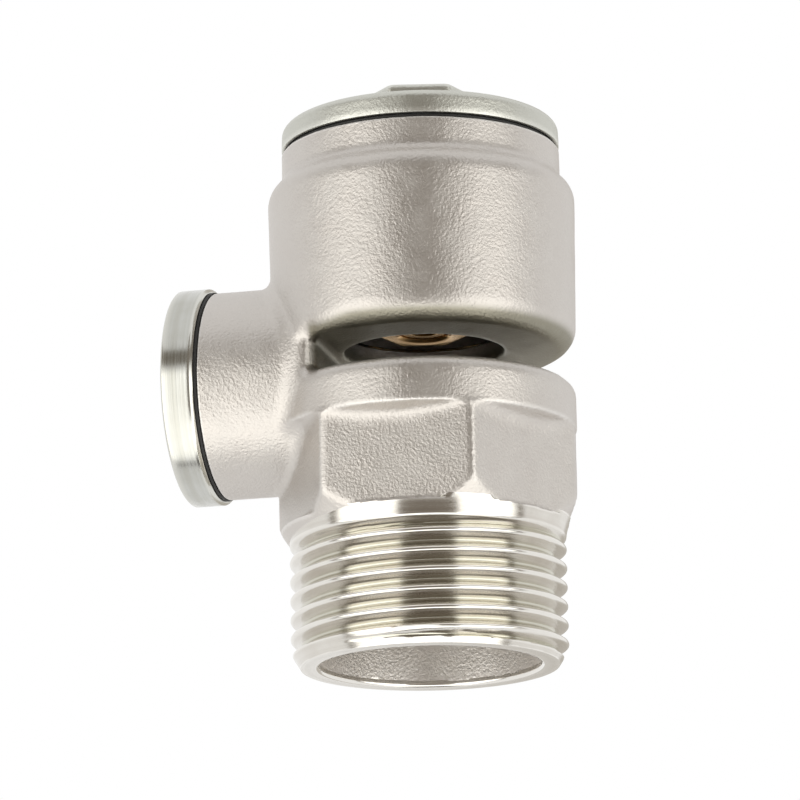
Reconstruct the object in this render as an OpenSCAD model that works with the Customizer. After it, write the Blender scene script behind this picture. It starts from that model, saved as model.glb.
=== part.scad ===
// Automatic air vent with an open air gap, G 1 male inlet below and a plugged
// side port. A spring holds the valve disc off its seat; flow carries it shut.
// Frame: Z runs up the inlet thread's axis from the inlet's end face, and the
// side port points along -X.

/* [Inlet thread] */
// Major diameter of the inlet thread
thread_d = 33.249; // [28:0.001:42]
// Pitch of the inlet thread
thread_pitch = 2.309; // [1.8:0.001:3]
// Depth of the inlet thread
thread_depth = 1.479; // [1:0.001:1.9]
// Length of the threaded inlet, from its end face to the neck
thread_len = 15.4; // [12:0.1:22]
// Radial size of the chamfer at the inlet's end
thread_chamfer = 1.1; // [0.5:0.1:1.3]
// Diameter of the inlet bore
inlet_bore_d = 26.6; // [20:0.1:27.5]

/* [Barrel] */
// Diameter of the upper body
barrel_d = 37.1; // [34:0.1:46]
// Diameter of the lower body
drum_d = 36.5; // [34:0.1:40]
// Height of the turned neck between the thread and the barrel
neck_h = 3.8; // [2:0.1:6]
// Depth of the groove round the top of the thread
undercut = 0.45; // [0.2:0.05:1]
// Width across the cast spanner flats
hex_af = 32; // [30:0.1:33]
// Height of the spanner flats
hex_h = 10.3; // [8:0.1:13]
// Turn of the spanner flats about the axis, in degrees
hex_turn = 0; // [0:0.1:30]
// Height of the round drum between the flats and the air gap
drum_h = 6.6; // [4:0.1:8]
// Slope of the ledges above and below the flats, as rise over depth
ledge_slope = 0.45; // [0.2:0.05:0.8]
// Height of the lower body from the neck to the floor of the air gap
lower_h = 14.9; // [13:0.1:24]
// Height of the air gap
gap_h = 4.4; // [4.1:0.1:8]
// Distance from the axis to the web that closes the port side of the gap
web_x = 11; // [9:0.1:13]
// Thickness of that web
web_t = 2.2; // [1.5:0.1:3]
// Thickness of the roof over the inlet cavity
roof_t = 2.4; // [1.5:0.1:4]
// Radius on the rims of the air gap
rim_r = 2; // [0.5:0.1:2.4]
// Diameter of the cavity above the inlet bore
cavity_d = 27.6; // [24:0.1:29]

/* [Vent seat] */
// Diameter of the vent hole in the chamber floor
vent_d = 19.4; // [14:0.1:23]
// Thickness of the chamber floor
vent_plate_t = 2.5; // [2:0.1:4]
// Height of the raised seat
seat_h = 0.6; // [0.3:0.1:1.5]
// Radial width of the raised seat
seat_w = 1.6; // [0.8:0.1:2.2]
// Diameter of the upper chamber
chamber_d = 30; // [27:0.1:31]

/* [Screw cap] */
// Diameter of the cap's thread
cap_thread_d = 30; // [28:0.1:34]
// Pitch of the cap's thread
cap_pitch = 1.5; // [1:0.25:2]
// Wall of the collar round the cap's thread
collar_wall = 1.95; // [1.2:0.05:3]
// Height of the collar above the barrel's shoulder
collar_h = 3.8; // [2:0.1:8]
// Radius of the barrel's shoulder
shoulder_r = 3.1; // [2:0.1:4]
// Depth of the cap's thread
cap_thread_depth = 0.9; // [0.6:0.05:1.2]
// Height of the cap's rim
cap_rim_h = 2.8; // [2:0.1:5]
// Radius on the top edge of the cap's rim
cap_edge_r = 0.6; // [0.2:0.1:1.2]
// Wall of the cap's threaded skirt
cap_skirt_wall = 1.75; // [1.2:0.05:2.5]
// Depth of the hollow in the cap's roof above the gasket face
cap_hollow_h = 1.1; // [0.8:0.1:1.8]
// Free height over the stem's end under the cap's roof
head_gap = 1; // [0.5:0.1:2]
// Free length of the body's thread below the cap's skirt
skirt_gap = 1.6; // [0.5:0.1:3]
// Width across the flats of the cap's hexagon
boss_af = 13; // [10:0.5:19]
// Height of the cap's hexagon
boss_h = 3.9; // [3:0.1:8]
// Turn of the cap's hexagon about the axis, in degrees
boss_turn = 12.6; // [0:0.1:60]

/* [Side port] */
// Height of the port's axis above the floor of the air gap
port_rise = 0.95; // [0:0.05:2]
// Outside diameter of the port
port_d = 25.3; // [24.5:0.1:28]
// Distance from the barrel's axis to the port's face
port_reach = 25.2; // [23:0.1:36]
// Major diameter of the port's thread
port_thread_d = 20.955; // [18:0.005:22]
// Depth of the port's threaded bore
port_thread_h = 8; // [6:0.1:9]
// Thickness of the plug's flange
plug_flange_t = 3.95; // [2:0.05:6]
// How far the plug's flange stands out past the port all round
plug_overhang = 0.6; // [0:0.1:2]
// Free length of the port's thread inside the plug's shank
shank_gap = 1.4; // [0.5:0.1:3]
// Width across the flats of the plug's hexagon socket
socket_af = 10; // [8:0.5:12]
// Depth of the plug's hexagon socket
socket_h = 4.6; // [3:0.1:5]
// Wall of the plug's hollow shank
plug_wall = 2.4; // [1.8:0.1:3]
// Depth of the hollow in the plug's shank
plug_hollow_h = 3.1; // [1:0.1:4]

/* [Gaskets] */
// Thickness of the cap's gasket
gasket_t = 0.7; // [0.5:0.1:1.5]
// Thickness of the plug's gasket
plug_gasket_t = 0.4; // [0.3:0.1:1.5]
// How far the cap's gasket lies inside the collar's rim
cap_gasket_inset = 0.55; // [0.1:0.05:0.6]
// How far the plug's gasket stands out past the port all round
plug_gasket_proud = 0.2; // [0:0.05:0.4]

/* [Valve] */
// Free travel of the valve between its seat and its lift stop
valve_travel = 3.25; // [2:0.05:4]
// Diameter of the valve stem
stem_d = 6; // [5:0.1:7]
// Diameter of the stem's flange
stem_flange_d = 10; // [8.5:0.1:12]
// Thickness of the stem's flange
stem_flange_t = 1.5; // [1:0.1:3]
// How far the seal disc reaches past the raised seat
seal_overlap = 0.5; // [0.2:0.1:1]
// Thickness of the seal disc
seal_t = 2.2; // [1.5:0.1:4]
// Thickness of the backing plate above the seal
backing_t = 1.2; // [0.8:0.1:2.5]
// How far the backing plate's rim lies inside the seal's rim
backing_inset = 0.8; // [0.3:0.1:2]
// Radial passage left between the clamp washer and the vent hole
throat = 2.45; // [1:0.05:4]
// Thickness of the clamp washer
clamp_t = 0.8; // [0.5:0.1:1.5]
// Diameter of the split lock washer
lock_d = 9.8; // [9:0.1:11]
// Thickness of the split lock washer
lock_t = 0.7; // [0.5:0.1:1.5]
// Width across the flats of the stem nut
nut_af = 10; // [9:0.5:12]
// Height of the stem nut
nut_h = 2.6; // [2:0.1:4]
// How far the stem's end stays inside the nut
stem_recess = 0.4; // [0:0.1:1]
// Turn of the stem nut about the axis, in degrees
nut_turn = 13; // [0:1:60]

/* [Guide] */
// Thickness of the guide spider's ring and arms
spider_t = 2; // [1.5:0.1:3]
// Radial width of the spider's ring
spider_ring_w = 2.3; // [1.8:0.1:3]
// Width of a spider arm
arm_w = 3.2; // [2:0.1:5]
// Number of spider arms
arm_count = 3; // [3:1:4]
// Diameter of the spider's hub
hub_d = 12.6; // [12:0.1:14]
// Height of the spider's hub
hub_h = 5; // [4:0.1:8]
// How far the hub hangs below the spider's ring
hub_drop = 1.5; // [1:0.1:2.5]
// Wall of the guide bush
bush_wall = 1.5; // [1:0.1:2]
// Thickness of the bush's flange, which is the valve's lift stop
bush_flange_t = 0.6; // [0.4:0.1:1.5]
// Diameter of the bush's flange
bush_flange_d = 11; // [9.5:0.1:12]
// Width of the ledge that the spider rests on
ledge_w = 1.3; // [0.8:0.1:1.8]
// Thickness of that ledge
ledge_t = 1.4; // [1:0.1:2.5]
// Thickness of the spider's retaining ring
ring_t = 1; // [0.8:0.1:1.5]
// Radial width of the retaining ring
ring_w = 2; // [1.5:0.1:2.5]
// Depth of the retaining ring's groove
ring_groove = 0.8; // [0.5:0.1:1]
// Width of the gap between the retaining ring's ends, in degrees
ring_split = 16; // [10:1:30]
// Height of the plain bore between the retaining ring and the cap's thread
ring_headroom = 1; // [0.5:0.1:3]

/* [Spring] */
// Diameter of the spring wire
wire_d = 0.6; // [0.4:0.05:0.8]
// Mean diameter of the spring
spring_d = 9.4; // [8.8:0.1:10.5]
// Number of turns of the spring
spring_turns = 4.5; // [3:0.5:5]
// Length of the fitted spring with the valve open
spring_h = 6.5; // [5.5:0.1:9]
// Diameter of the shim under the spring
shim_d = 12; // [10.5:0.1:12.6]
// Thickness of the shim under the spring
shim_t = 0.4; // [0.2:0.1:1]
// Thickness of the spring cup
cup_t = 0.6; // [0.4:0.1:1]
// Depth of the spring cup's skirt
cup_skirt = 1.3; // [0.5:0.1:2]
// Thickness of the stem clip
clip_t = 0.6; // [0.4:0.1:1]
// Diameter of the stem clip
clip_d = 10; // [9:0.1:12]
// Depth of the clip's groove in the stem
clip_groove = 0.7; // [0.4:0.1:0.9]
// Length of the stem above its clip
stem_tip = 0.8; // [0.4:0.1:1.2]

/* [Clearances] */
// Radial running clearance of the stem in its bush
run_gap = 0.05; // [0.03:0.01:0.1]
// Radial clearance of the two screwed threads
screw_gap = 0.06; // [0.05:0.01:0.1]
// Radial clearance of pieces that are stacked on the stem
stack_gap = 0.05; // [0.02:0.01:0.1]
// Radial clearance of the spider in its seat
spider_gap = 0.08; // [0.05:0.01:0.2]
// Free height left at the seat when the valve is shut, and at its stop when it is open
stop_gap = 0.05; // [0.03:0.01:0.3]
// Radial clearance of the gaskets round the threads that pass through them
gasket_gap = 0.1; // [0.05:0.05:0.3]
// Radial clearance of the spring inside its cup
cup_gap = 0.3; // [0.1:0.05:0.5]
// Height that the groove of the retaining ring leaves above the ring
groove_gap = 0.1; // [0.05:0.05:0.3]

/* [Hidden] */
$fn = 96;
over = 1;            // how far cutters run past the faces that they open

// Radii
thread_r = thread_d / 2;
barrel_r = barrel_d / 2;
drum_r = drum_d / 2;
collar_r = cap_thread_d / 2 + collar_wall;
cap_bore_r = cap_thread_d / 2 + screw_gap;
spider_bore_r = cap_thread_d / 2 - cap_thread_depth;
spider_r = spider_bore_r - spider_gap;
chamber_r = chamber_d / 2;
vent_r = vent_d / 2;
seal_r = vent_r + seat_w + seal_overlap;
port_bore_r = port_thread_d / 2 + screw_gap;
stem_r = stem_d / 2;
stack_r = stem_r + stack_gap;
bush_r = stem_r + run_gap + bush_wall;
clip_groove_r = stem_r - clip_groove;
plug_r = port_d / 2 + plug_overhang;

// Heights, from the inlet up
thread_top_z = thread_len - undercut;
barrel_z = thread_len + neck_h;
gap_floor_z = barrel_z + lower_h;
hex_z = gap_floor_z - drum_h - hex_h;
port_z = gap_floor_z + port_rise;
gap_ceiling_z = gap_floor_z + gap_h;
chamber_z = gap_ceiling_z + vent_plate_t;
seat_z = chamber_z + seat_h;
seal_z = seat_z + stop_gap + valve_travel;
clamp_z = seal_z - clamp_t;
lock_z = clamp_z - lock_t;
nut_z = lock_z - nut_h;
backing_z = seal_z + seal_t;
flange_z = backing_z + backing_t;
bush_z = flange_z + stem_flange_t + stop_gap;
hub_z = bush_z + bush_flange_t;
spider_z = hub_z + hub_drop;
ring_z = spider_z + spider_t;
cap_bore_z = ring_z + ring_t + ring_headroom;
shim_z = hub_z + hub_h;
spring_z = shim_z + shim_t;
cup_z = spring_z + spring_h;
clip_z = cup_z + cup_t;
stem_top_z = clip_z + clip_t + stem_tip;
roof_z = stem_top_z + head_gap;
cap_face_z = roof_z - cap_hollow_h;
cap_top_z = cap_face_z + cap_rim_h;
collar_z = cap_face_z - gasket_t;
shoulder_z = collar_z - collar_h;
skirt_z = cap_bore_z + skirt_gap;

// Side port, measured outwards along -X
plug_face = port_reach + plug_gasket_t;
pass_depth = port_reach - port_thread_h;
shank_end = pass_depth + shank_gap;

// A ring between two radii and two heights
module tube(r_out, r_in, z, h) {
    translate([0, 0, z])
        difference() {
            cylinder(r = r_out, h = h);
            translate([0, 0, -over]) cylinder(r = r_in, h = h + 2 * over);
        }
}

// A hexagonal prism with flats facing +Y and -Y before its turn
module hexagon(af, h, turn = 0) {
    rotate([0, 0, turn]) cylinder(d = af / cos(30), h = h, $fn = 6);
}

// Places its children on the side port's axis, with their +Z pointing out of the port
module on_port() {
    translate([0, 0, port_z]) rotate([0, -90, 0]) children();
}

// Outline of the inlet from its axis out: an end chamfer, the threaded stretch, the
// undercut above it and the neck that flares to the barrel
module inlet_outline() {
    polygon(concat(
        [[0, 0], [thread_r - thread_chamfer, 0], [thread_r, 1.5 * thread_chamfer]],
        [for (step = [[0, 0], [-1, 1], [0, 2]])
            [thread_r + step[0] * undercut, thread_top_z + step[1] * undercut]],
        [for (step = [[0.25, 0.45], [0.5, 0.75], [1, 1]])
            [thread_r + step[0] * (drum_r - thread_r), thread_len + step[1] * neck_h]],
        [[drum_r, barrel_z + over], [0, barrel_z + over]]));
}

// The ring-shaped grooves of the inlet thread, counted down from its top crest
module thread_grooves() {
    flank = thread_depth * tan(27.5);
    land = (thread_pitch - 2 * flank) / 2;
    for (i = [1 : floor(thread_top_z / thread_pitch)])
        translate([thread_r - thread_depth, thread_top_z - i * thread_pitch])
            polygon([[thread_depth + over, -over * tan(27.5)], [0, flank], [0, flank + land],
                [thread_depth + over, 2 * flank + land + over * tan(27.5)]]);
}

// Lower body: a drum whose top rim is rounded where the air gap begins
module lower_outline() {
    translate([0, barrel_z]) square([drum_r, gap_floor_z - rim_r - barrel_z]);
    translate([0, barrel_z]) square([drum_r - rim_r, gap_floor_z - barrel_z]);
    translate([drum_r - rim_r, gap_floor_z - rim_r]) circle(r = rim_r);
}

// Upper body: a drum with a rounded lower rim, a rounded shoulder and the collar
module upper_outline() {
    arc_r = barrel_r - shoulder_r;
    reach = min(max(collar_r - arc_r, 0), shoulder_r);
    arc_z = shoulder_z - sqrt(shoulder_r * shoulder_r - reach * reach);
    translate([0, gap_ceiling_z]) square([barrel_r - rim_r, arc_z - gap_ceiling_z]);
    translate([0, gap_ceiling_z + rim_r])
        square([barrel_r, arc_z - gap_ceiling_z - rim_r]);
    translate([barrel_r - rim_r, gap_ceiling_z + rim_r]) circle(r = rim_r);
    translate([arc_r, arc_z]) circle(r = shoulder_r);
    translate([0, arc_z - over]) square([arc_r, shoulder_r + over]);
    translate([0, shoulder_z - over]) square([collar_r, collar_h + over]);
}

// A cutter for the six spanner flats: a ring between two cones, less the hexagon's prism
module flats_cutter() {
    flat_r = hex_af / 2;
    depth = drum_r + over - flat_r;
    rise = ledge_slope * depth;
    difference() {
        rotate_extrude()
            polygon([[flat_r - over, hex_z + ledge_slope * over],
                [flat_r + depth, hex_z - rise], [flat_r + depth, hex_z + hex_h + rise],
                [flat_r - over, hex_z + hex_h - ledge_slope * over]]);
        translate([0, 0, hex_z - rise - over])
            hexagon(hex_af, hex_h + 2 * (rise + over), hex_turn);
    }
}

module body_outside() {
    difference() {
        union() {
            rotate_extrude()
                difference() {
                    inlet_outline();
                    thread_grooves();
                }
            rotate_extrude() lower_outline();
        }
        flats_cutter();
    }
    rotate_extrude() upper_outline();
    intersection() {
        translate([0, 0, gap_floor_z - rim_r - over])
            cylinder(r = drum_r, h = gap_h + 2 * (rim_r + over));
        translate([-barrel_d - web_x, -barrel_d, gap_floor_z - rim_r - over])
            cube([barrel_d, 2 * barrel_d, gap_h + 2 * (rim_r + over)]);
    }
    on_port() translate([0, 0, web_x + web_t]) cylinder(d = port_d, h = port_reach - web_x - web_t);
}

// Water ways: inlet bore and cavity, the side passage past the web, and the chamber
module body_hollows() {
    ceiling_z = gap_floor_z - roof_t;
    translate([0, 0, -over]) cylinder(d = inlet_bore_d, h = barrel_z + over);
    translate([0, 0, barrel_z - over]) cylinder(d = cavity_d, h = ceiling_z - barrel_z + over);
    on_port() translate([0, 0, pass_depth]) cylinder(r = port_bore_r, h = port_thread_h + over);
    on_port() translate([0, 0, web_x + web_t])
        cylinder(r = port_bore_r, h = pass_depth - web_x - web_t + over / 2);
    intersection() {
        on_port() cylinder(r = port_bore_r, h = web_x + web_t + over);
        translate([-barrel_d, -barrel_d, 0]) cube([barrel_d, 2 * barrel_d, ceiling_z]);
    }
    translate([0, 0, gap_ceiling_z - over]) cylinder(r = vent_r, h = vent_plate_t + 2 * over);
    difference() {
        translate([0, 0, chamber_z]) cylinder(r = chamber_r, h = spider_z - ledge_t - chamber_z);
        tube(vent_r + seat_w, vent_r, chamber_z - over, seat_h + over);
    }
    translate([0, 0, spider_z - ledge_t - over])
        cylinder(r = spider_bore_r - ledge_w, h = ledge_t + 2 * over);
    translate([0, 0, spider_z]) cylinder(r = spider_bore_r, h = cap_bore_z - spider_z + over);
    translate([0, 0, ring_z])
        cylinder(r = spider_bore_r + ring_groove, h = ring_t + groove_gap);
    translate([0, 0, cap_bore_z]) cylinder(r = cap_bore_r, h = collar_z - cap_bore_z + over);
}

module body() {
    color("silver")
        difference() {
            body_outside();
            body_hollows();
        }
}

module top_cap() {
    skirt_r = cap_thread_d / 2 - screw_gap;
    color("silver")
        difference() {
            union() {
                translate([0, 0, skirt_z]) cylinder(r = skirt_r, h = cap_face_z - skirt_z + over);
                rotate_extrude() {
                    translate([0, cap_face_z])
                        square([collar_r, cap_rim_h - cap_edge_r]);
                    translate([0, cap_face_z])
                        square([collar_r - cap_edge_r, cap_rim_h]);
                    translate([collar_r - cap_edge_r, cap_top_z - cap_edge_r])
                        circle(r = cap_edge_r);
                }
                translate([0, 0, cap_top_z - over]) hexagon(boss_af, boss_h + over, boss_turn);
            }
            translate([0, 0, skirt_z - over])
                cylinder(r = skirt_r - cap_skirt_wall, h = roof_z - skirt_z + over);
        }
}

module top_cap_gasket() {
    color("black")
        tube(collar_r - cap_gasket_inset, cap_thread_d / 2 + gasket_gap, collar_z, gasket_t);
}

module side_plug() {
    color("gainsboro")
        on_port()
            difference() {
                union() {
                    translate([0, 0, plug_face]) cylinder(r = plug_r, h = plug_flange_t);
                    translate([0, 0, shank_end])
                        cylinder(r = port_thread_d / 2 - screw_gap,
                            h = plug_face - shank_end + over);
                }
                translate([0, 0, plug_face + plug_flange_t - socket_h])
                    hexagon(socket_af, socket_h + over);
                translate([0, 0, shank_end - over])
                    cylinder(r = port_thread_d / 2 - plug_wall, h = plug_hollow_h + over);
            }
}

module side_plug_gasket() {
    color("black")
        on_port()
            tube(port_d / 2 + plug_gasket_proud, port_thread_d / 2 + gasket_gap,
                port_reach, plug_gasket_t);
}

module guide_spider() {
    color("khaki") {
        difference() {
            union() {
                tube(spider_r, spider_r - spider_ring_w, spider_z, spider_t);
                for (i = [0 : arm_count - 1])
                    rotate([0, 0, 30 + i * 360 / arm_count])
                        translate([0, -arm_w / 2, spider_z])
                            cube([spider_r - spider_ring_w / 2, arm_w, spider_t]);
                translate([0, 0, hub_z]) cylinder(d = hub_d, h = hub_h);
            }
            translate([0, 0, hub_z - over]) cylinder(r = bush_r, h = hub_h + 2 * over);
        }
    }
}

module guide_bush() {
    color("white")
        difference() {
            union() {
                translate([0, 0, bush_z]) cylinder(d = bush_flange_d, h = bush_flange_t);
                translate([0, 0, bush_z]) cylinder(r = bush_r, h = bush_flange_t + hub_h);
            }
            translate([0, 0, bush_z - over])
                cylinder(r = stem_r + run_gap, h = bush_flange_t + hub_h + 2 * over);
        }
}

// Internal circlip: a split ring whose two ends carry lugs with plier holes
module spider_retaining_ring() {
    ring_r = spider_bore_r + ring_groove - spider_gap;
    lug_r = 0.8 * ring_w;
    hole_r = 0.3 * ring_w;
    color("dimgray")
        translate([0, 0, ring_z])
            difference() {
                union() {
                    tube(ring_r, ring_r - ring_w, 0, ring_t);
                    for (s = [-1, 1])
                        rotate([0, 0, 90 + s * ring_split])
                            translate([ring_r - ring_w, 0, 0])
                                cylinder(r = lug_r, h = ring_t);
                }
                rotate([0, 0, 90])
                    translate([0, 0, -over])
                        linear_extrude(height = ring_t + 2 * over)
                            polygon([for (s = [0, -1, 1])
                                2 * ring_r * [abs(s), s * tan(ring_split / 2)]]);
                for (s = [-1, 1])
                    rotate([0, 0, 90 + s * ring_split])
                        translate([ring_r - ring_w, 0, -over])
                            cylinder(r = hole_r, h = ring_t + 2 * over);
            }
}

module spring_shim() {
    color("lightsteelblue") tube(shim_d / 2, stack_r, shim_z, shim_t);
}

// Point on the spring's centre line at turn t: two closed end turns, the rest evenly pitched
function spring_height(t) =
    let (live = spring_turns - 2, pitch = (spring_h - 3 * wire_d) / live)
    wire_d / 2 + (t < 1 ? t * wire_d
        : t < 1 + live ? wire_d + (t - 1) * pitch
        : spring_h - 2 * wire_d + (t - 1 - live) * wire_d);

// One ring of points round the wire at turn t
function wire_ring(t, sides) =
    [for (k = [0 : sides - 1])
        let (a = 360 * k / sides, r = spring_d / 2 + wire_d / 2 * cos(a))
        [r * cos(360 * t), r * sin(360 * t), spring_height(t) + wire_d / 2 * sin(a)]];

module lifting_spring() {
    sides = 8;
    steps = 24 * spring_turns;
    points = [for (i = [0 : steps]) each wire_ring(i / 24, sides)];
    walls = [for (i = [0 : steps - 1], k = [0 : sides - 1])
        let (a = i * sides + k, b = i * sides + (k + 1) % sides)
        each [[a, a + sides, b + sides], [a, b + sides, b]]];
    first = [for (k = [0 : sides - 1]) k];
    last = [for (k = [sides - 1 : -1 : 0]) steps * sides + k];
    color("lightgray")
        translate([0, 0, spring_z])
            polyhedron(points = points, faces = concat(walls, [first], [last]), convexity = 8);
}

module spring_cup() {
    cup_r = (spring_d + wire_d) / 2 + cup_gap + cup_t;
    color("lightsteelblue")
        difference() {
            translate([0, 0, cup_z - cup_skirt]) cylinder(r = cup_r, h = cup_t + cup_skirt);
            translate([0, 0, cup_z - cup_skirt - over])
                cylinder(r = cup_r - cup_t, h = cup_skirt + over);
            translate([0, 0, cup_z - over]) cylinder(r = stack_r, h = cup_t + 2 * over);
        }
}

// E-clip: a ring open on one side that bears on the stem's groove at three places
module stem_clip() {
    mouth = 1.7 * clip_groove_r;
    relief_r = 0.22 * clip_d / 2;
    color("dimgray")
        translate([0, 0, clip_z])
            difference() {
                cylinder(d = clip_d, h = clip_t);
                translate([0, 0, -over]) cylinder(r = clip_groove_r, h = clip_t + 2 * over);
                translate([0, -mouth / 2, -over]) cube([clip_d, mouth, clip_t + 2 * over]);
                for (s = [-1, 1])
                    rotate([0, 0, 115 * s])
                        translate([clip_groove_r + relief_r / 2, 0, -over])
                            cylinder(r = relief_r, h = clip_t + 2 * over);
            }
}

module valve_stem() {
    edge = 0.4;
    color("goldenrod")
        rotate_extrude()
            polygon([[0, nut_z + stem_recess], [stem_r - edge, nut_z + stem_recess],
                [stem_r, nut_z + stem_recess + edge], [stem_r, flange_z],
                [stem_flange_d / 2, flange_z], [stem_flange_d / 2, flange_z + stem_flange_t],
                [stem_r, flange_z + stem_flange_t], [stem_r, clip_z],
                [clip_groove_r, clip_z], [clip_groove_r, clip_z + clip_t],
                [stem_r, clip_z + clip_t],
                [stem_r, stem_top_z - edge], [stem_r - edge, stem_top_z], [0, stem_top_z]]);
}

module backing_plate() {
    color("goldenrod") tube(seal_r - backing_inset, stack_r, backing_z, backing_t);
}

module seal_disc() {
    color("black") tube(seal_r, stack_r, seal_z, seal_t);
}

module clamp_washer() {
    color("goldenrod") tube(vent_r - throat, stack_r, clamp_z, clamp_t);
}

module lock_washer() {
    color("gray")
        difference() {
            tube(lock_d / 2, stack_r, lock_z, lock_t);
            translate([0, -lock_t / 2, lock_z - over]) cube([lock_d, lock_t, lock_t + 2 * over]);
        }
}

// Hexagon nut with its corners turned off at both ends
module stem_nut() {
    corner_r = nut_af / 2 / cos(30) + over;
    face_r = 0.95 * nut_af / 2;
    bevel = 0.5 * (corner_r - face_r);
    color("gold")
        difference() {
            intersection() {
                translate([0, 0, nut_z]) hexagon(nut_af, nut_h, nut_turn);
                rotate_extrude()
                    polygon([[0, nut_z], [face_r, nut_z], [corner_r, nut_z + bevel],
                        [corner_r, nut_z + nut_h - bevel], [face_r, nut_z + nut_h],
                        [0, nut_z + nut_h]]);
            }
            translate([0, 0, nut_z - over]) cylinder(r = stack_r, h = nut_h + 2 * over);
        }
}

body();
top_cap();
top_cap_gasket();
side_plug();
side_plug_gasket();
guide_spider();
guide_bush();
spider_retaining_ring();
spring_shim();
lifting_spring();
spring_cup();
stem_clip();
valve_stem();
backing_plate();
seal_disc();
clamp_washer();
lock_washer();
stem_nut();
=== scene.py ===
"""Automatic air vent with an open air gap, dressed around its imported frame.

Z runs up the inlet thread's axis from the inlet's end face, and the side port points
along -X, as in the frame. Every size is in millimetres until a mesh is made of it.
"""

import logging
import math
from collections.abc import Callable, Mapping, Sequence
from dataclasses import dataclass, field
from enum import Enum
from typing import Any

import bpy
import numpy as np
from mathutils import Matrix, Vector


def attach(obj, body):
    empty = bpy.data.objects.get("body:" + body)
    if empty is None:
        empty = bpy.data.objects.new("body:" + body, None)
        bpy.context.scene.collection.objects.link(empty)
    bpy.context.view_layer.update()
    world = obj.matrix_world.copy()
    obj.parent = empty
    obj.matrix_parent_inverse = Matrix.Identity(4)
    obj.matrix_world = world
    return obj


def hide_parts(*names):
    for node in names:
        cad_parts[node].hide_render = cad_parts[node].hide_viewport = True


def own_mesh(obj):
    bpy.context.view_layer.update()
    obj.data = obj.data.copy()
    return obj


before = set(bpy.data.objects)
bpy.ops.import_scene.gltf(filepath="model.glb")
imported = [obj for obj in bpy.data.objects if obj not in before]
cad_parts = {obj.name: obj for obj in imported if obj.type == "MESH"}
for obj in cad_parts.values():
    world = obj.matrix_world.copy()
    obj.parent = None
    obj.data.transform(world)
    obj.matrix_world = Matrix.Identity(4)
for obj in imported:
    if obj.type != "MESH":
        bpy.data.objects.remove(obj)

LOG = logging.getLogger("air_vent")
MM = 0.001
WELD = 0.0005  # points closer than this, in millimetres, are one point
TURN = 2 * math.pi
PORT_Z = 35.05  # height of the side port's axis

Array = np.ndarray
Field = Callable[[Array, Array, Array], Array]


# ---------------------------------------------------------------- surfaces


@dataclass
class Surface:
    """Points in millimetres, and quads of point numbers between them."""

    points: Array
    quads: Array

    def outward(self) -> "Surface":
        """The closed surface with its faces pointing out: the enclosed volume, summed as
        the triple products of the faces' corners, is made positive."""
        a, b, c, d = (self.points[self.quads[:, k]] for k in range(4))
        volume = np.einsum("ij,ij->", a, np.cross(b, c) + np.cross(c, d))
        return self if volume > 0 else Surface(self.points, self.quads[:, ::-1])

    def on_port(self) -> "Surface":
        """The surface moved so that its own +Z points out of the side port."""
        x, y, z = self.points.T
        return Surface(np.stack([-z, y, x + PORT_Z], axis=1), self.quads)

    def faces(self) -> tuple[Array, list[list[int]]]:
        """Merges doubled points and drops the faces that this leaves without area.

        Returns:
            The points that are used, and the faces as lists of three or four of them.
        """
        keys = np.round(self.points / WELD + 0.137).astype(np.int64)
        _, first, number = np.unique(keys, axis=0, return_index=True, return_inverse=True)
        quads = number.reshape(-1)[self.quads]
        fresh = quads != np.roll(quads, -1, axis=1)
        whole = (quads[:, 0] != quads[:, 2]) & (quads[:, 1] != quads[:, 3])
        four = quads[(fresh.sum(axis=1) == 4) & whole]
        rows = (fresh.sum(axis=1) == 3) & whole
        three = quads[rows][fresh[rows]].reshape(-1, 3)
        used, corner = np.unique(np.concatenate([four.ravel(), three.ravel()]), return_inverse=True)
        four = corner[: four.size].reshape(-1, 4)
        three = corner[four.size :].reshape(-1, 3)
        return self.points[first][used], four.tolist() + three.tolist()


def sheet(points: Array, close_rows: bool = True, close_columns: bool = False) -> Surface:
    """A grid of points as a surface of quads.

    Args:
        points: The grid, as rows × columns × 3.
        close_rows: Joins the last row to the first.
        close_columns: Joins the last column to the first.

    Returns:
        The surface.
    """
    rows, columns = points.shape[:2]
    row = np.arange(rows if close_rows else rows - 1)[:, None]
    column = np.arange(columns if close_columns else columns - 1)[None, :]
    after, beside = (row + 1) % rows, (column + 1) % columns
    corners = [row * columns + column, after * columns + column,
               after * columns + beside, row * columns + beside]
    quads = np.stack([np.broadcast_to(c, (len(row), column.shape[1])) for c in corners], axis=-1)
    return Surface(points.reshape(-1, 3), quads.reshape(-1, 4))


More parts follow.
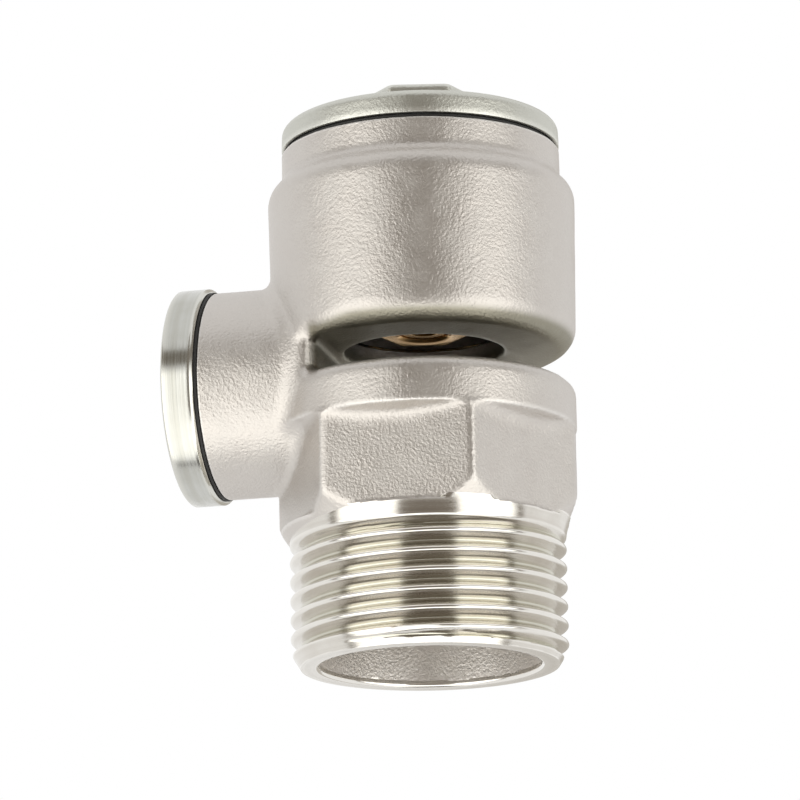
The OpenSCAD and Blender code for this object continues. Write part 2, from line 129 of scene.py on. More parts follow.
def rounded(corners: Sequence[tuple[float, float, float]], steps: int = 5) -> Array:
    """A closed outline with its corners rounded.

    Each corner becomes an arc about the point on its bisector that lies one radius from
    both edges, with one more point just before and after the arc to hold the shading.

    Args:
        corners: Radius from the axis, height, and rounding of each corner, in order.
        steps: Number of chords in each arc.

    Returns:
        Radius and height of each point, as rows.
    """
    table = np.array(corners, float)
    here, radius = table[:, :2], table[:, 2:3]
    back, ahead = np.roll(here, 1, axis=0) - here, np.roll(here, -1, axis=0) - here
    back_length = np.linalg.norm(back, axis=1, keepdims=True)
    ahead_length = np.linalg.norm(ahead, axis=1, keepdims=True)
    back, ahead = back / back_length, ahead / ahead_length
    half = 0.5 * np.arccos(np.clip((back * ahead).sum(axis=1, keepdims=True), -0.9999, 0.9999))
    reach = radius / np.tan(half)
    middle = back + ahead
    middle = middle / np.linalg.norm(middle, axis=1, keepdims=True)
    centre = here + middle * radius / np.sin(half)
    side = np.sign(back[:, :1] * ahead[:, 1:] - back[:, 1:] * ahead[:, :1])
    share = np.linspace(0, 1, steps + 1)[None, :]
    angle = -side * (math.pi - 2 * half) * share
    spoke = here + back * reach - centre
    arc = centre[:, None, :] + np.stack(
        [spoke[:, :1] * np.cos(angle) - spoke[:, 1:] * np.sin(angle),
         spoke[:, :1] * np.sin(angle) + spoke[:, 1:] * np.cos(angle)], axis=-1)
    hold = np.minimum(0.12, 0.2 * np.minimum(back_length, ahead_length))
    before = here + back * (reach + hold)
    after = here + ahead * (reach + hold)
    return np.concatenate([before[:, None], arc, after[:, None]], axis=1).reshape(-1, 2)


def ring_points(radius: Array, height: Array, angle: Array) -> Array:
    """Points at x = r cos a, y = r sin a, z = height, for arrays of rows × columns."""
    radius, height, angle = np.broadcast_arrays(radius, height, angle)
    return np.stack([radius * np.cos(angle), radius * np.sin(angle), height], axis=-1)


def circles_of(outline: Array, angle: Array) -> Array:
    """The circles that an outline's points, as radius and height, turn through."""
    return ring_points(outline[:, :1], outline[:, 1:], angle)


def turned_piece(corners: Sequence[tuple[float, float, float]], columns: int = 160) -> Surface:
    """A closed outline carried once round the axis, as on a lathe.

    Args:
        corners: Radius, height and rounding of each corner of the outline.
        columns: Number of positions round the axis.

    Returns:
        The closed surface.
    """
    outline = rounded(corners)
    angle = np.arange(columns)[None, :] * TURN / columns
    points = ring_points(np.maximum(outline[:, :1], 0), outline[:, 1:], angle)
    return sheet(points, close_columns=True).outward()


def hexagon_radius(angle: Array, apothem: Array, corner: float, turn: float) -> Array:
    """Radius of a hexagon with rounded corners, at an angle about its middle.

    Along a flat it is apothem / cos a, with a counted from the middle of the flat. Near a
    corner the ray meets a circle of the corner's radius that touches both flats.

    Args:
        angle: Angles in radians.
        apothem: Distance from the middle to the flats.
        corner: Radius of the corners.
        turn: Direction of one flat's middle, in degrees.

    Returns:
        The radius at each angle.
    """
    apothem = np.asarray(apothem, float)
    corner = np.minimum(corner, 0.5 * apothem)
    sector = math.pi / 3
    folded = np.abs((angle - math.radians(turn) + sector / 2) % sector - sector / 2)
    flat = apothem / np.cos(folded)
    round_mid = np.maximum(apothem - corner, 0) / math.cos(sector / 2)
    off = sector / 2 - folded
    arc = round_mid * np.cos(off) + np.sqrt(
        np.maximum(corner**2 - (round_mid * np.sin(off)) ** 2, 0))
    on_flat = apothem * np.tan(folded) <= np.maximum(apothem - corner, 0) * math.tan(sector / 2)
    return np.where(on_flat, flat, arc)


def swept(path: Array, side: Array, lift: Array, outline: Array) -> Surface:
    """A closed cross-section carried along an open path, with flat ends.

    Point (i, j) is path i plus outline j's first number times the side direction there and
    its second times the lift direction.

    Args:
        path: Points of the path, as rows.
        side: Unit direction across the path at each of its points.
        lift: The other unit direction across it.
        outline: The cross-section's points in those two directions.

    Returns:
        The closed surface.
    """
    body = (path[:, None] + side[:, None] * outline[None, :, :1]
            + lift[:, None] * outline[None, :, 1:])
    first, last = body[:1].mean(axis=1, keepdims=True), body[-1:].mean(axis=1, keepdims=True)
    ends = [np.broadcast_to(first, body[:1].shape), body, np.broadcast_to(last, body[:1].shape)]
    return sheet(np.concatenate(ends), close_rows=False, close_columns=True).outward()


def smooth_step(value: Array) -> Array:
    """3 t² - 2 t³ with t held between 0 and 1."""
    t = np.clip(value, 0, 1)
    return t * t * (3 - 2 * t)


# ------------------------------------------------------------------ threads


@dataclass(frozen=True)
class Thread:
    """A right-hand screw thread with rounded crests and roots."""

    major: float  # radius over the crests of the male thread
    pitch: float
    phase: float  # height of a crest at angle 0
    rounding: float  # radius on crests and roots
    flank_deg: float  # angle between a flank and a plane square to the axis

    @property
    def depth(self) -> float:
        """Radial distance from crest to root: two roundings and the flank between them."""
        flank = math.radians(self.flank_deg)
        reach = self.rounding * math.cos(flank)
        cap = self.rounding * (1 - math.sin(flank))
        return 2 * cap + (self.pitch / 2 - 2 * reach) / math.tan(flank)

    def cut(self, angle: Array, height: Array) -> Array:
        """Depth of the groove below the crests, at an angle and a height.

        The distance to the nearest crest is |h - phase - pitch a / 2π| folded to half a
        pitch. The depth follows a circle at the crest, a straight flank and a circle at
        the root.

        Args:
            angle: Angles about the axis in radians.
            height: Heights along it.

        Returns:
            The depth, from 0 on a crest to the full depth in a root.
        """
        half = self.pitch / 2
        off = height - self.phase - self.pitch * angle / TURN
        off = np.abs((off + half) % self.pitch - half)
        flank = math.radians(self.flank_deg)
        reach = self.rounding * math.cos(flank)
        cap = self.rounding * (1 - math.sin(flank))
        crest = self.rounding - np.sqrt(np.maximum(self.rounding**2 - off**2, 0))
        root = self.depth - self.rounding + np.sqrt(
            np.maximum(self.rounding**2 - (half - off) ** 2, 0))
        slope = cap + (off - reach) / math.tan(flank)
        return np.where(off < reach, crest, np.where(off > half - reach, root, slope))

    def climb(self, low: float, high: float, per_turn: int, angle: Array) -> Array:
        """Heights of rows that climb with the thread: row height plus pitch a / 2π, held
        between the two ends of the threaded stretch.

        Args:
            low: Lower end of the stretch.
            high: Upper end.
            per_turn: Rows to a pitch.
            angle: Angles from 0 to a full turn, both included.

        Returns:
            Heights as rows × columns.
        """
        step = self.pitch / per_turn
        start = np.arange(low - self.pitch, high + step, step)[:, None]
        return np.clip(start + self.pitch * angle[None, :] / TURN, low, high)


G1_INLET = Thread(16.6245, 2.309, 13.78, 0.317, 27.5)
G12_PORT = Thread(10.44, 1.814, 0.4, 0.249, 27.5)
M30_CAP = Thread(14.95, 1.5, 0.35, 0.21, 30.0)


# ------------------------------------------------------------ implicit shapes


def round_union(a: Array, b: Array, r: Any) -> Array:
    """Distance to either shape, with a fillet of radius r where they meet:
    max(r, min(a, b)) less the length of (r - a, r - b) where these are positive."""
    return np.maximum(r, np.minimum(a, b)) - np.hypot(np.maximum(r - a, 0), np.maximum(r - b, 0))


def round_common(a: Array, b: Array, r: Any) -> Array:
    """Distance to what both shapes share, with its edge rounded to radius r."""
    return -round_union(-a, -b, r)


def round_edge(a: Array, b: Array, r: Array, c: Array) -> Array:
    """Distance to what both shapes share, with its edge rounded to radius r where their
    outward directions meet at an angle of cosine c: the length of the offset from the
    arc's centre, √((A² + B² - 2cAB) / (1 - c²)) - r with A = a + r and B = b + r.

    Args:
        a: Distance to the first shape.
        b: Distance to the second.
        r: Radius of the rounding.
        c: Cosine between the shapes' outward directions.

    Returns:
        The rounded distance.
    """
    c = np.clip(c, -0.9, 0.9)
    a_in, b_in = a + r, b + r
    reach = np.sqrt(np.maximum(a_in**2 + b_in**2 - 2 * c * a_in * b_in, 0) / (1 - c * c)) - r
    return np.where((a_in > c * b_in) & (b_in > c * a_in), reach, np.maximum(a, b))


def slopes(shape: Field, points: Array, h: float = 0.02) -> Array:
    """Gradient of a field at points, by central differences over h."""
    steps = np.eye(3) * h
    return np.stack(
        [(shape(*(points + s).T) - shape(*(points - s).T)) / (2 * h) for s in steps], axis=1)


def contour(shape: Field, axes: Sequence[Array]) -> Surface:
    """The zero level of a field as quads, by dual contouring.

    Every grid edge that the surface crosses gives a quad between the four cells round it.
    A cell's point is the one nearest, by least squares, to the tangent planes at its
    crossings, which keeps edges crisp, and on smooth ground it is then moved onto the
    level along the gradient.

    Args:
        shape: The field: negative inside, positive outside.
        axes: Grid positions along X, Y and Z, whose outermost ones lie outside the shape.

    Returns:
        The closed surface.
    """
    value = shape(*np.meshgrid(*axes, indexing="ij"))
    cells = tuple(n - 1 for n in value.shape)
    hits, quads = [], []
    for axis in range(3):
        low = np.argwhere(np.diff(value < 0, axis=axis))
        high = low + np.eye(3, dtype=int)[axis]
        start = np.stack([axes[k][low[:, k]] for k in range(3)], axis=1)
        end = np.stack([axes[k][high[:, k]] for k in range(3)], axis=1)
        a, b = value[tuple(low.T)], value[tuple(high.T)]
        rising = a < 0
        for _ in range(4):
            middle = start + (a / (a - b))[:, None] * (end - start)
            m = shape(*middle.T)
            near = (m < 0) == (a < 0)
            start, a = np.where(near[:, None], middle, start), np.where(near, m, a)
            end, b = np.where(near[:, None], end, middle), np.where(near, b, m)
        share = a / np.where(a == b, 1, a - b)
        hits.append(start + share[:, None] * (end - start))
        u, v = np.eye(3, dtype=int)[(axis + 1) % 3], np.eye(3, dtype=int)[(axis + 2) % 3]
        around_edge = np.stack([low - u - v, low - v, low, low - u], axis=1)
        numbers = np.ravel_multi_index(tuple(np.moveaxis(around_edge, -1, 0)), cells)
        quads.append(np.where(rising[:, None], numbers, numbers[:, ::-1]))
    hit, quad = np.concatenate(hits), np.concatenate(quads)
    normal = slopes(shape, hit)
    normal /= np.maximum(np.linalg.norm(normal, axis=1, keepdims=True), 1e-9)
    cell, owner = np.unique(quad, return_inverse=True)
    owner = owner.reshape(-1)
    hit4, normal4 = np.repeat(hit, 4, axis=0), np.repeat(normal, 4, axis=0)
    count = np.bincount(owner)[:, None]

    def total(columns: Array) -> Array:
        """Sums of each column over the crossings of each cell."""
        return np.stack([np.bincount(owner, c) for c in columns.T], axis=1)

    centre = total(hit4) / count
    outer = (normal4[:, :, None] * normal4[:, None, :]).reshape(-1, 9)
    matrix = total(outer).reshape(-1, 3, 3) + 0.03 * np.eye(3)
    off = np.einsum("ij,ij->i", normal4, hit4 - centre[owner])
    move = np.linalg.solve(matrix, total(normal4 * off[:, None])[:, :, None])[:, :, 0]
    index = np.stack(np.unravel_index(cell, cells), axis=1)
    floor = np.stack([axes[k][index[:, k]] for k in range(3)], axis=1)
    roof = np.stack([axes[k][index[:, k] + 1] for k in range(3)], axis=1)
    points = np.clip(centre + move, floor, roof)
    calm = np.linalg.norm(total(normal4) / count, axis=1) > 0.985
    for _ in range(2):
        slope = slopes(shape, points[calm])
        size = np.maximum((slope**2).sum(axis=1), 0.1)
        points[calm] -= slope * (shape(*points[calm].T) / size)[:, None]
    return Surface(points, owner.reshape(-1, 4))


def graded(low: float, high: float, step: float, *fine: tuple[float, float, float]) -> Array:
    """Grid positions from low to just past high, with closer ones in some stretches.

    Args:
        low: First position.
        high: Position to reach.
        step: Distance between them.
        fine: Stretches to grade finer, each as start, end and step.

    Returns:
        The positions in order.
    """
    places = np.arange(low, high + step, step)
    for start, end, close in fine:
        places = places[(places < start - close / 2) | (places > end + close / 2)]
        places = np.concatenate([places, np.arange(start, end + close / 2, close)])
    return np.sort(places)


# ------------------------------------------------------------------- finishes


def linear(hex_colour: str) -> tuple[float, float, float, float]:
    """An sRGB hex colour as linear red, green, blue and alpha: below 0.04045 a part is
    divided by 12.92, and above it is ((part + 0.055) / 1.055) to the power of 2.4.

    Args:
        hex_colour: The colour, as # and six hex digits.

    Returns:
        The linear colour.
    """
    parts = [int(hex_colour[i : i + 2], 16) / 255 for i in (1, 3, 5)]
    low = [p / 12.92 if p <= 0.04045 else ((p + 0.055) / 1.055) ** 2.4 for p in parts]
    return (low[0], low[1], low[2], 1.0)


def add_node(
    tree: bpy.types.NodeTree,
    kind: str,
    settings: Mapping[str, Any] | None = None,
    inputs: Mapping[Any, Any] | None = None,
) -> bpy.types.Node:
    """Adds a node, sets its options, and fills or links its inputs.

    Args:
        tree: The node tree.
        kind: The node's type name.
        settings: Its options by name.
        inputs: Values or output sockets by the input's name or number.

    Returns:
        The node.
    """
    node = tree.nodes.new(kind)
    for name, value in (settings or {}).items():
        setattr(node, name, value)
    for key, value in (inputs or {}).items():
        if isinstance(value, bpy.types.NodeSocket):
            tree.links.new(value, node.inputs[key])
        else:
            node.inputs[key].default_value = value
    return node


def new_material(name: str) -> bpy.types.Material:
    """A material with an empty node tree.

    Args:
        name: Name of the material.

    Returns:
        The material.
    """
    material = bpy.data.materials.new(name)
    material.use_nodes = True
    material.node_tree.nodes.clear()
    return material


def paint_rim_light_and_corner_shade(
    tree: bpy.types.NodeTree,
    base: bpy.types.NodeSocket,
    edge: bpy.types.NodeSocket,
    between: tuple[float, float],
    most: float,
    hex_colour: str,
) -> bpy.types.NodeSocket:
    """Lays a colour over another: painted highlight on rims, painted shade in inside corners.

    Args:
        tree: Node tree of the material.
        base: The colour below.
        edge: How convex the surface is, from -1 to 1.
        between: Convexity at which the new colour starts, and at which it is strongest.
        most: Its share there.
        hex_colour: The new colour.

    Returns:
        The mixed colour.
    """
    share = add_node(tree, "ShaderNodeMapRange", {},
                     {0: edge, 1: between[0], 2: between[1], 3: 0.0, 4: most}).outputs[0]
    return add_node(tree, "ShaderNodeMix", {"data_type": "RGBA"},
                    {0: share, 6: base, 7: linear(hex_colour)}).outputs[2]


def rough_surface(
    tree: bpy.types.NodeTree,
    values: Mapping[str, Any],
    gloss: bpy.types.NodeSocket,
    roughness: tuple[float, float],
    height: bpy.types.NodeSocket,
    relief_mm: float,
) -> None:
    """Ends a material with its shader, whose roughness and relief follow patterns.

    Args:
        tree: Node tree of the material.
        values: The shader's other inputs.
        gloss: Pattern that the roughness follows.
        roughness: Roughness where the pattern is low and where it is high.
        height: Pattern that the relief follows.
        relief_mm: Height of the relief.
    """
    rough = add_node(tree, "ShaderNodeMapRange", {},
                     {0: gloss, 1: 0.3, 2: 0.7, 3: roughness[0], 4: roughness[1]}).outputs[0]
    bump = add_node(tree, "ShaderNodeBump", {},
                    {"Strength": 1.0, "Distance": relief_mm * MM, "Height": height}).outputs[0]
    shader = add_node(tree, "ShaderNodeBsdfPrincipled", {},
                      {**values, "Roughness": rough, "Normal": bump})
    add_node(tree, "ShaderNodeOutputMaterial", {}, {"Surface": shader.outputs[0]})


class Lathe(Enum):
    """Which axis a turned piece's tool lines run round."""

    VERTICAL = "vertical"
    PORT = "port"


@dataclass(frozen=True)
class BlastedNickel:
    """Investment-cast brass, shot-blasted and nickel-plated.

    The blast leaves pits and humps about 0.4 mm across under a satin plate, so light
    spreads into soft warm-grey bands with a fine sparkle. Rims are drawn lighter, partly
    rubbed wear and partly painted highlight, and inside corners darker as painted shade.
    """

    name: str = "nickel_plated_blasted_brass"
    colour: str = "#CFCBC6"
    duller: str = "#C6C0BA"
    # lighter rims: partly rubbed wear, partly painted highlight
    rim: str = "#E0DDD9"
    # painted shade in inside corners
    corner: str = "#AEA7A0"
    # painted shade: the air gap's ceiling and web drawn a darker olive grey
    painted_gap_shade: str = "#938F81"
    # painted light: the inlet's bore drawn a brighter nickel
    painted_bore_light: str = "#EFEBE6"
    grain_mm: float = 0.38
    pit_mm: float = 0.2
    blotch_mm: float = 3.0
    relief_mm: float = 0.062
    roughness: tuple[float, float] = (0.38, 0.46)

    def material(self) -> bpy.types.Material:
        """Builds the material.

        Returns:
            The material.
        """
        material = new_material(self.name)
        tree = material.node_tree
        place = add_node(tree, "ShaderNodeTexCoord").outputs["Object"]
        edge = add_node(tree, "ShaderNodeAttribute", {"attribute_name": "edge"}).outputs["Fac"]
        blotch = add_node(tree, "ShaderNodeTexNoise", {},
                         {"Vector": place, "Scale": 1 / (self.blotch_mm * MM),
                          "Detail": 3}).outputs["Fac"]
        grain = add_node(tree, "ShaderNodeTexNoise", {},
                         {"Vector": place, "Scale": 1 / (self.grain_mm * MM),
                          "Detail": 1.5, "Roughness": 0.5}).outputs["Fac"]
        pits = add_node(tree, "ShaderNodeTexNoise", {},
                         {"Vector": place, "Scale": 1 / (self.pit_mm * MM),
                          "Detail": 1}).outputs["Fac"]
        base = add_node(tree, "ShaderNodeMix", {"data_type": "RGBA"},
                        {0: blotch, 6: linear(self.duller), 7: linear(self.colour)}).outputs[2]
        # painted highlight (with rubbed wear) on rims, then painted shade in inside corners
        base = paint_rim_light_and_corner_shade(tree, base, edge, (0.15, 1.0), 0.75, self.rim)
        base = paint_rim_light_and_corner_shade(tree, base, edge, (-0.15, -1.0), 0.7, self.corner)
        # painted shade in the air gap and painted light in the inlet's bore
        base = self.paint_gap_shade_and_bore_light(tree, place, base)
        height = add_node(tree, "ShaderNodeMath", {"operation": "MULTIPLY_ADD"},
                          {0: pits, 1: 0.4, 2: grain}).outputs[0]
        rough_surface(tree, {"Base Color": base, "Metallic": 1.0}, blotch, self.roughness,
                      height, self.relief_mm)
        return material

    def paint_gap_shade_and_bore_light(self, tree: bpy.types.NodeTree, place: bpy.types.NodeSocket,
                   base: bpy.types.NodeSocket) -> bpy.types.NodeSocket:
        """Colour with painted shade in the air gap and painted light in the bore laid over it.

        The air gap's ceiling and web are drawn a dull olive grey as painted shade, and the
        inlet's bore a brighter nickel as painted light. Both tones are a guess. Each share is a
        product of smooth steps of the height, of the distance from the axis and, in the gap, of
        the place along X.

        Args:
            tree: Node tree of the material.
            place: Object coordinates.
            base: Colour of the blasted skin.

        Returns:
            The mixed colour.
        """
        split = add_node(tree, "ShaderNodeSeparateXYZ", {}, {0: place})
        side, high = split.outputs[0], split.outputs[2]
        flat = add_node(tree, "ShaderNodeVectorMath", {"operation": "MULTIPLY"},
                        {0: place, 1: (1.0, 1.0, 0.0)}).outputs[0]
        out = add_node(tree, "ShaderNodeVectorMath", {"operation": "LENGTH"},
                       {0: flat}).outputs["Value"]
        # first painted shade in the air gap, then painted light in the inlet's bore
        for colour, steps in ((self.painted_gap_shade, ((high, 34.4, 35.0), (high, 40.9, 39.6),
                                               (out, 18.5, 17.7), (side, -11.4, -10.5))),
                              (self.painted_bore_light, ((high, 33.0, 31.8), (out, 14.35, 14.0)))):
            share: bpy.types.NodeSocket | float = 1.0
            for source, nothing, full in steps:
                step = add_node(tree, "ShaderNodeMapRange", {"interpolation_type": "SMOOTHSTEP"},
                                {0: source, 1: nothing * MM, 2: full * MM, 3: 0.0, 4: 1.0})
                share = add_node(tree, "ShaderNodeMath", {"operation": "MULTIPLY"},
                                 {0: share, 1: step.outputs[0]}).outputs[0]
            base = add_node(tree, "ShaderNodeMix", {"data_type": "RGBA"},
                            {0: share, 6: base, 7: linear(colour)}).outputs[2]
        return base


@dataclass(frozen=True)
class TurnedMetal:
    """Metal cut on a lathe, bare or plated.

    The tool leaves fine rings round the axis, so highlights stay sharp along the rings
    and spread a little across them. Crests and edges are drawn brighter as painted highlight,
    and roots darker, with a trace of yellow, as painted shade.
    """

    name: str
    colour: str
    shaded: str
    # painted highlight on crests and rims
    rim: str
    # painted shade in roots
    root: str
    roughness: tuple[float, float]
    lathe: Lathe = Lathe.VERTICAL
    line_mm: float = 0.16  # feed of the finishing cut, drawn a little coarse so it shows
    band_mm: float = 1.3
    relief_mm: float = 0.0014

    def material(self) -> bpy.types.Material:
        """Builds the material. The rings read one number: the place along the axis plus
        0.83 of the distance from it, so that faces and walls both get rings.

        Returns:
            The material.
        """
        material = new_material(self.name)
        tree = material.node_tree
        spot = add_node(tree, "ShaderNodeTexCoord").outputs["Object"]
        port = self.lathe is Lathe.PORT
        centre = (0.0, 0.0, -PORT_Z * MM) if port else (0.0, 0.0, 0.0)
        place = add_node(tree, "ShaderNodeMapping", {}, {0: spot, 1: centre}).outputs[0]
        along = (1.0, 0.0, 0.0) if port else (0.0, 0.0, 1.0)
        across = (0.0, 1.0, 1.0) if port else (1.0, 1.0, 0.0)
        axial = add_node(tree, "ShaderNodeVectorMath", {"operation": "DOT_PRODUCT"},
                         {0: place, 1: along}).outputs["Value"]
        flat = add_node(tree, "ShaderNodeVectorMath", {"operation": "MULTIPLY"},
                        {0: place, 1: across}).outputs[0]
        radial = add_node(tree, "ShaderNodeVectorMath", {"operation": "LENGTH"},
                          {0: flat}).outputs["Value"]
        ring = add_node(tree, "ShaderNodeMath", {"operation": "MULTIPLY_ADD"},
                        {0: radial, 1: 0.83, 2: axial}).outputs[0]
        lines = add_node(tree, "ShaderNodeTexNoise", {"noise_dimensions": "1D"},
                         {"W": ring, "Scale": 1 / (self.line_mm * MM),
                          "Detail": 2.0}).outputs["Fac"]
        bands = add_node(tree, "ShaderNodeTexNoise", {"noise_dimensions": "1D"},
                         {"W": ring, "Scale": 1 / (self.band_mm * MM),
                          "Detail": 2.0}).outputs["Fac"]
        stain = add_node(tree, "ShaderNodeTexNoise", {},
                         {"Vector": place, "Scale": 1 / (3.5 * MM), "Detail": 3}).outputs["Fac"]
        edge = add_node(tree, "ShaderNodeAttribute", {"attribute_name": "edge"}).outputs["Fac"]
        tone = add_node(tree, "ShaderNodeMath", {"operation": "MULTIPLY"},
                        {0: bands, 1: stain}).outputs[0]
        tone = add_node(tree, "ShaderNodeMapRange", {},
                        {0: tone, 1: 0.1, 2: 0.4, 3: 0.0, 4: 1.0}).outputs[0]
        base = add_node(tree, "ShaderNodeMix", {"data_type": "RGBA"},
                        {0: tone, 6: linear(self.shaded), 7: linear(self.colour)}).outputs[2]
        # painted highlight on crests and rims, then painted shade in roots
        base = paint_rim_light_and_corner_shade(tree, base, edge, (0.1, 1.0), 0.8, self.rim)
        base = paint_rim_light_and_corner_shade(tree, base, edge, (-0.2, -1.0), 0.8, self.root)
        rough_surface(tree, {"Base Color": base, "Metallic": 1.0}, lines, self.roughness,
                      lines, self.relief_mm)
        return material


@dataclass(frozen=True)
class GrainedMetal:
    """Sheet, wire or rough-cast metal with a grain that follows its making.

    Rolled sheet and drawn wire have fine scratches one way, rough-cast brass has pits
    all over; both show as an uneven satin gloss. Edges are drawn brighter, partly their
    own finish and partly painted highlight.
    """

    name: str
    colour: str
    shaded: str
    # brighter edges: partly the edges' own finish, partly painted highlight
    rim: str
    roughness: tuple[float, float]
    grain_mm: tuple[float, float, float]  # grain size along X, Y and Z
    relief_mm: float = 0.004

    def material(self) -> bpy.types.Material:
        """Builds the material.

        Returns:
            The material.
        """
        material = new_material(self.name)
        tree = material.node_tree
        spot = add_node(tree, "ShaderNodeTexCoord").outputs["Object"]
        edge = add_node(tree, "ShaderNodeAttribute", {"attribute_name": "edge"}).outputs["Fac"]
        scale = tuple(1 / (g * MM) for g in self.grain_mm)
        stretched = add_node(tree, "ShaderNodeMapping", {}, {0: spot, 3: scale}).outputs[0]
        grain = add_node(tree, "ShaderNodeTexNoise", {},
                         {"Vector": stretched, "Scale": 1.0, "Detail": 2.0}).outputs["Fac"]
        blotch = add_node(tree, "ShaderNodeTexNoise", {},
                         {"Vector": spot, "Scale": 1 / (2.5 * MM), "Detail": 3}).outputs["Fac"]
        base = add_node(tree, "ShaderNodeMix", {"data_type": "RGBA"},
                        {0: blotch, 6: linear(self.shaded), 7: linear(self.colour)}).outputs[2]
        # painted highlight on edges and rims
        base = paint_rim_light_and_corner_shade(tree, base, edge, (0.1, 1.0), 0.8, self.rim)
        rough_surface(tree, {"Base Color": base, "Metallic": 1.0}, grain, self.roughness,
                      grain, self.relief_mm)
        return material


@dataclass(frozen=True)
class MouldedPolymer:
    """Moulded rubber or plastic: matt black rubber with a dusty bloom on its edges, or
    smooth white acetal."""

    name: str
    colour: str
    bloom: str
    roughness: tuple[float, float]
    ior: float
    grain_mm: float = 0.15
    relief_mm: float = 0.004

    def material(self) -> bpy.types.Material:
        """Builds the material.

        Returns:
            The material.
        """
        material = new_material(self.name)
        tree = material.node_tree
        spot = add_node(tree, "ShaderNodeTexCoord").outputs["Object"]
        edge = add_node(tree, "ShaderNodeAttribute", {"attribute_name": "edge"}).outputs["Fac"]
        grain = add_node(tree, "ShaderNodeTexNoise", {},
                         {"Vector": spot, "Scale": 1 / (self.grain_mm * MM),
                          "Detail": 2}).outputs["Fac"]
        patch = add_node(tree, "ShaderNodeTexNoise", {},
                         {"Vector": spot, "Scale": 1 / (2.2 * MM), "Detail": 4}).outputs["Fac"]
        dust = add_node(tree, "ShaderNodeMapRange", {},
                        {0: patch, 1: 0.45, 2: 0.75, 3: 0.0, 4: 0.5}).outputs[0]
        dust = add_node(tree, "ShaderNodeMath", {"operation": "MULTIPLY_ADD", "use_clamp": True},
                        {0: edge, 1: 0.25, 2: dust}).outputs[0]
        base = add_node(tree, "ShaderNodeMix", {"data_type": "RGBA"},
                        {0: dust, 6: linear(self.colour), 7: linear(self.bloom)}).outputs[2]
        rough_surface(tree, {"Base Color": base, "IOR": self.ior}, patch, self.roughness,
                      grain, self.relief_mm)
        return material


# Bright nickel over turned brass: near-mirror, lighter crests as painted highlight,
# and a darker yellow-grey in the roots as painted shade.
TURNED_NICKEL = TurnedMetal("nickel_plated_turned_brass", "#DEDBD4", "#D1CCC4", "#E8E5DF",
                            "#C6C3B4", (0.12, 0.22))
# The plug is turned about the port's axis and plated with a slightly satin nickel.
# its third colour is painted highlight on rims, its fourth painted shade in the roots
PLUG_NICKEL = TurnedMetal("nickel_plated_turned_plug", "#C4C4BF", "#B6B5AD", "#D6D5CE",
                          "#A0937B", (0.13, 0.24), Lathe.PORT, 0.22, 1.1, 0.003)
# Free-cutting brass straight from the lathe: warm yellow with sharp rings.
# its third colour is painted highlight on rims, its fourth painted shade in the roots
TURNED_BRASS = TurnedMetal("turned_brass", "#C09A5B", "#A8834A", "#DDB98A", "#6E4F2A",
                           (0.16, 0.28))
# Investment-cast brass, barrel-polished: yellow satin with shallow pits.
CAST_BRASS = GrainedMetal("cast_brass", "#B08F55", "#96763F", "#CDAE72", (0.32, 0.45),
                          (0.35, 0.35, 0.35), 0.012)
# Hard-drawn stainless spring wire: grey, with die lines too fine to see one by one.
SPRING_STEEL = GrainedMetal("stainless_spring_steel", "#A9A9A8", "#8F8F8E", "#C9C8C5",
                            (0.2, 0.34), (0.5, 0.5, 0.08), 0.002)
# Cold-rolled stainless strip, stamped: straight rolling grain, bright sheared edges with
# painted highlight laid over them.
SHEET_STEEL = GrainedMetal("stamped_stainless_strip", "#B4B4B2", "#9C9C9A", "#D2D1CE",
                           (0.22, 0.36), (2.0, 0.07, 0.3), 0.003)
# Pressed nitrile rubber sheet, cut to rings: charcoal, matt, dusty at the cut edge.
GASKET_RUBBER = MouldedPolymer("nitrile_rubber_sheet", "#121212", "#262524", (0.5, 0.65), 1.52)
# Moulded peroxide-cured rubber disc: deep black with a faint polish.
SEAL_RUBBER = MouldedPolymer("moulded_seal_rubber", "#151515", "#2C2B2A", (0.36, 0.5), 1.52)
# Natural acetal: milky white with a waxy gloss.
ACETAL = MouldedPolymer("natural_acetal", "#E9E6DC", "#F4F2EA", (0.3, 0.4), 1.48, 0.4, 0.003)
BLASTED = BlastedNickel()
# The cap is cast apart from the body: finer blast, slightly greener plate.
# its rim colour is painted highlight and its corner colour painted shade, as on the body
CAP_BLASTED = BlastedNickel("nickel_plated_blasted_cap", "#CBCBC3", "#C2C2BA", "#DCDCD5",
                            "#A6A59C", relief_mm=0.045)


# ------------------------------------------------------------------- pieces


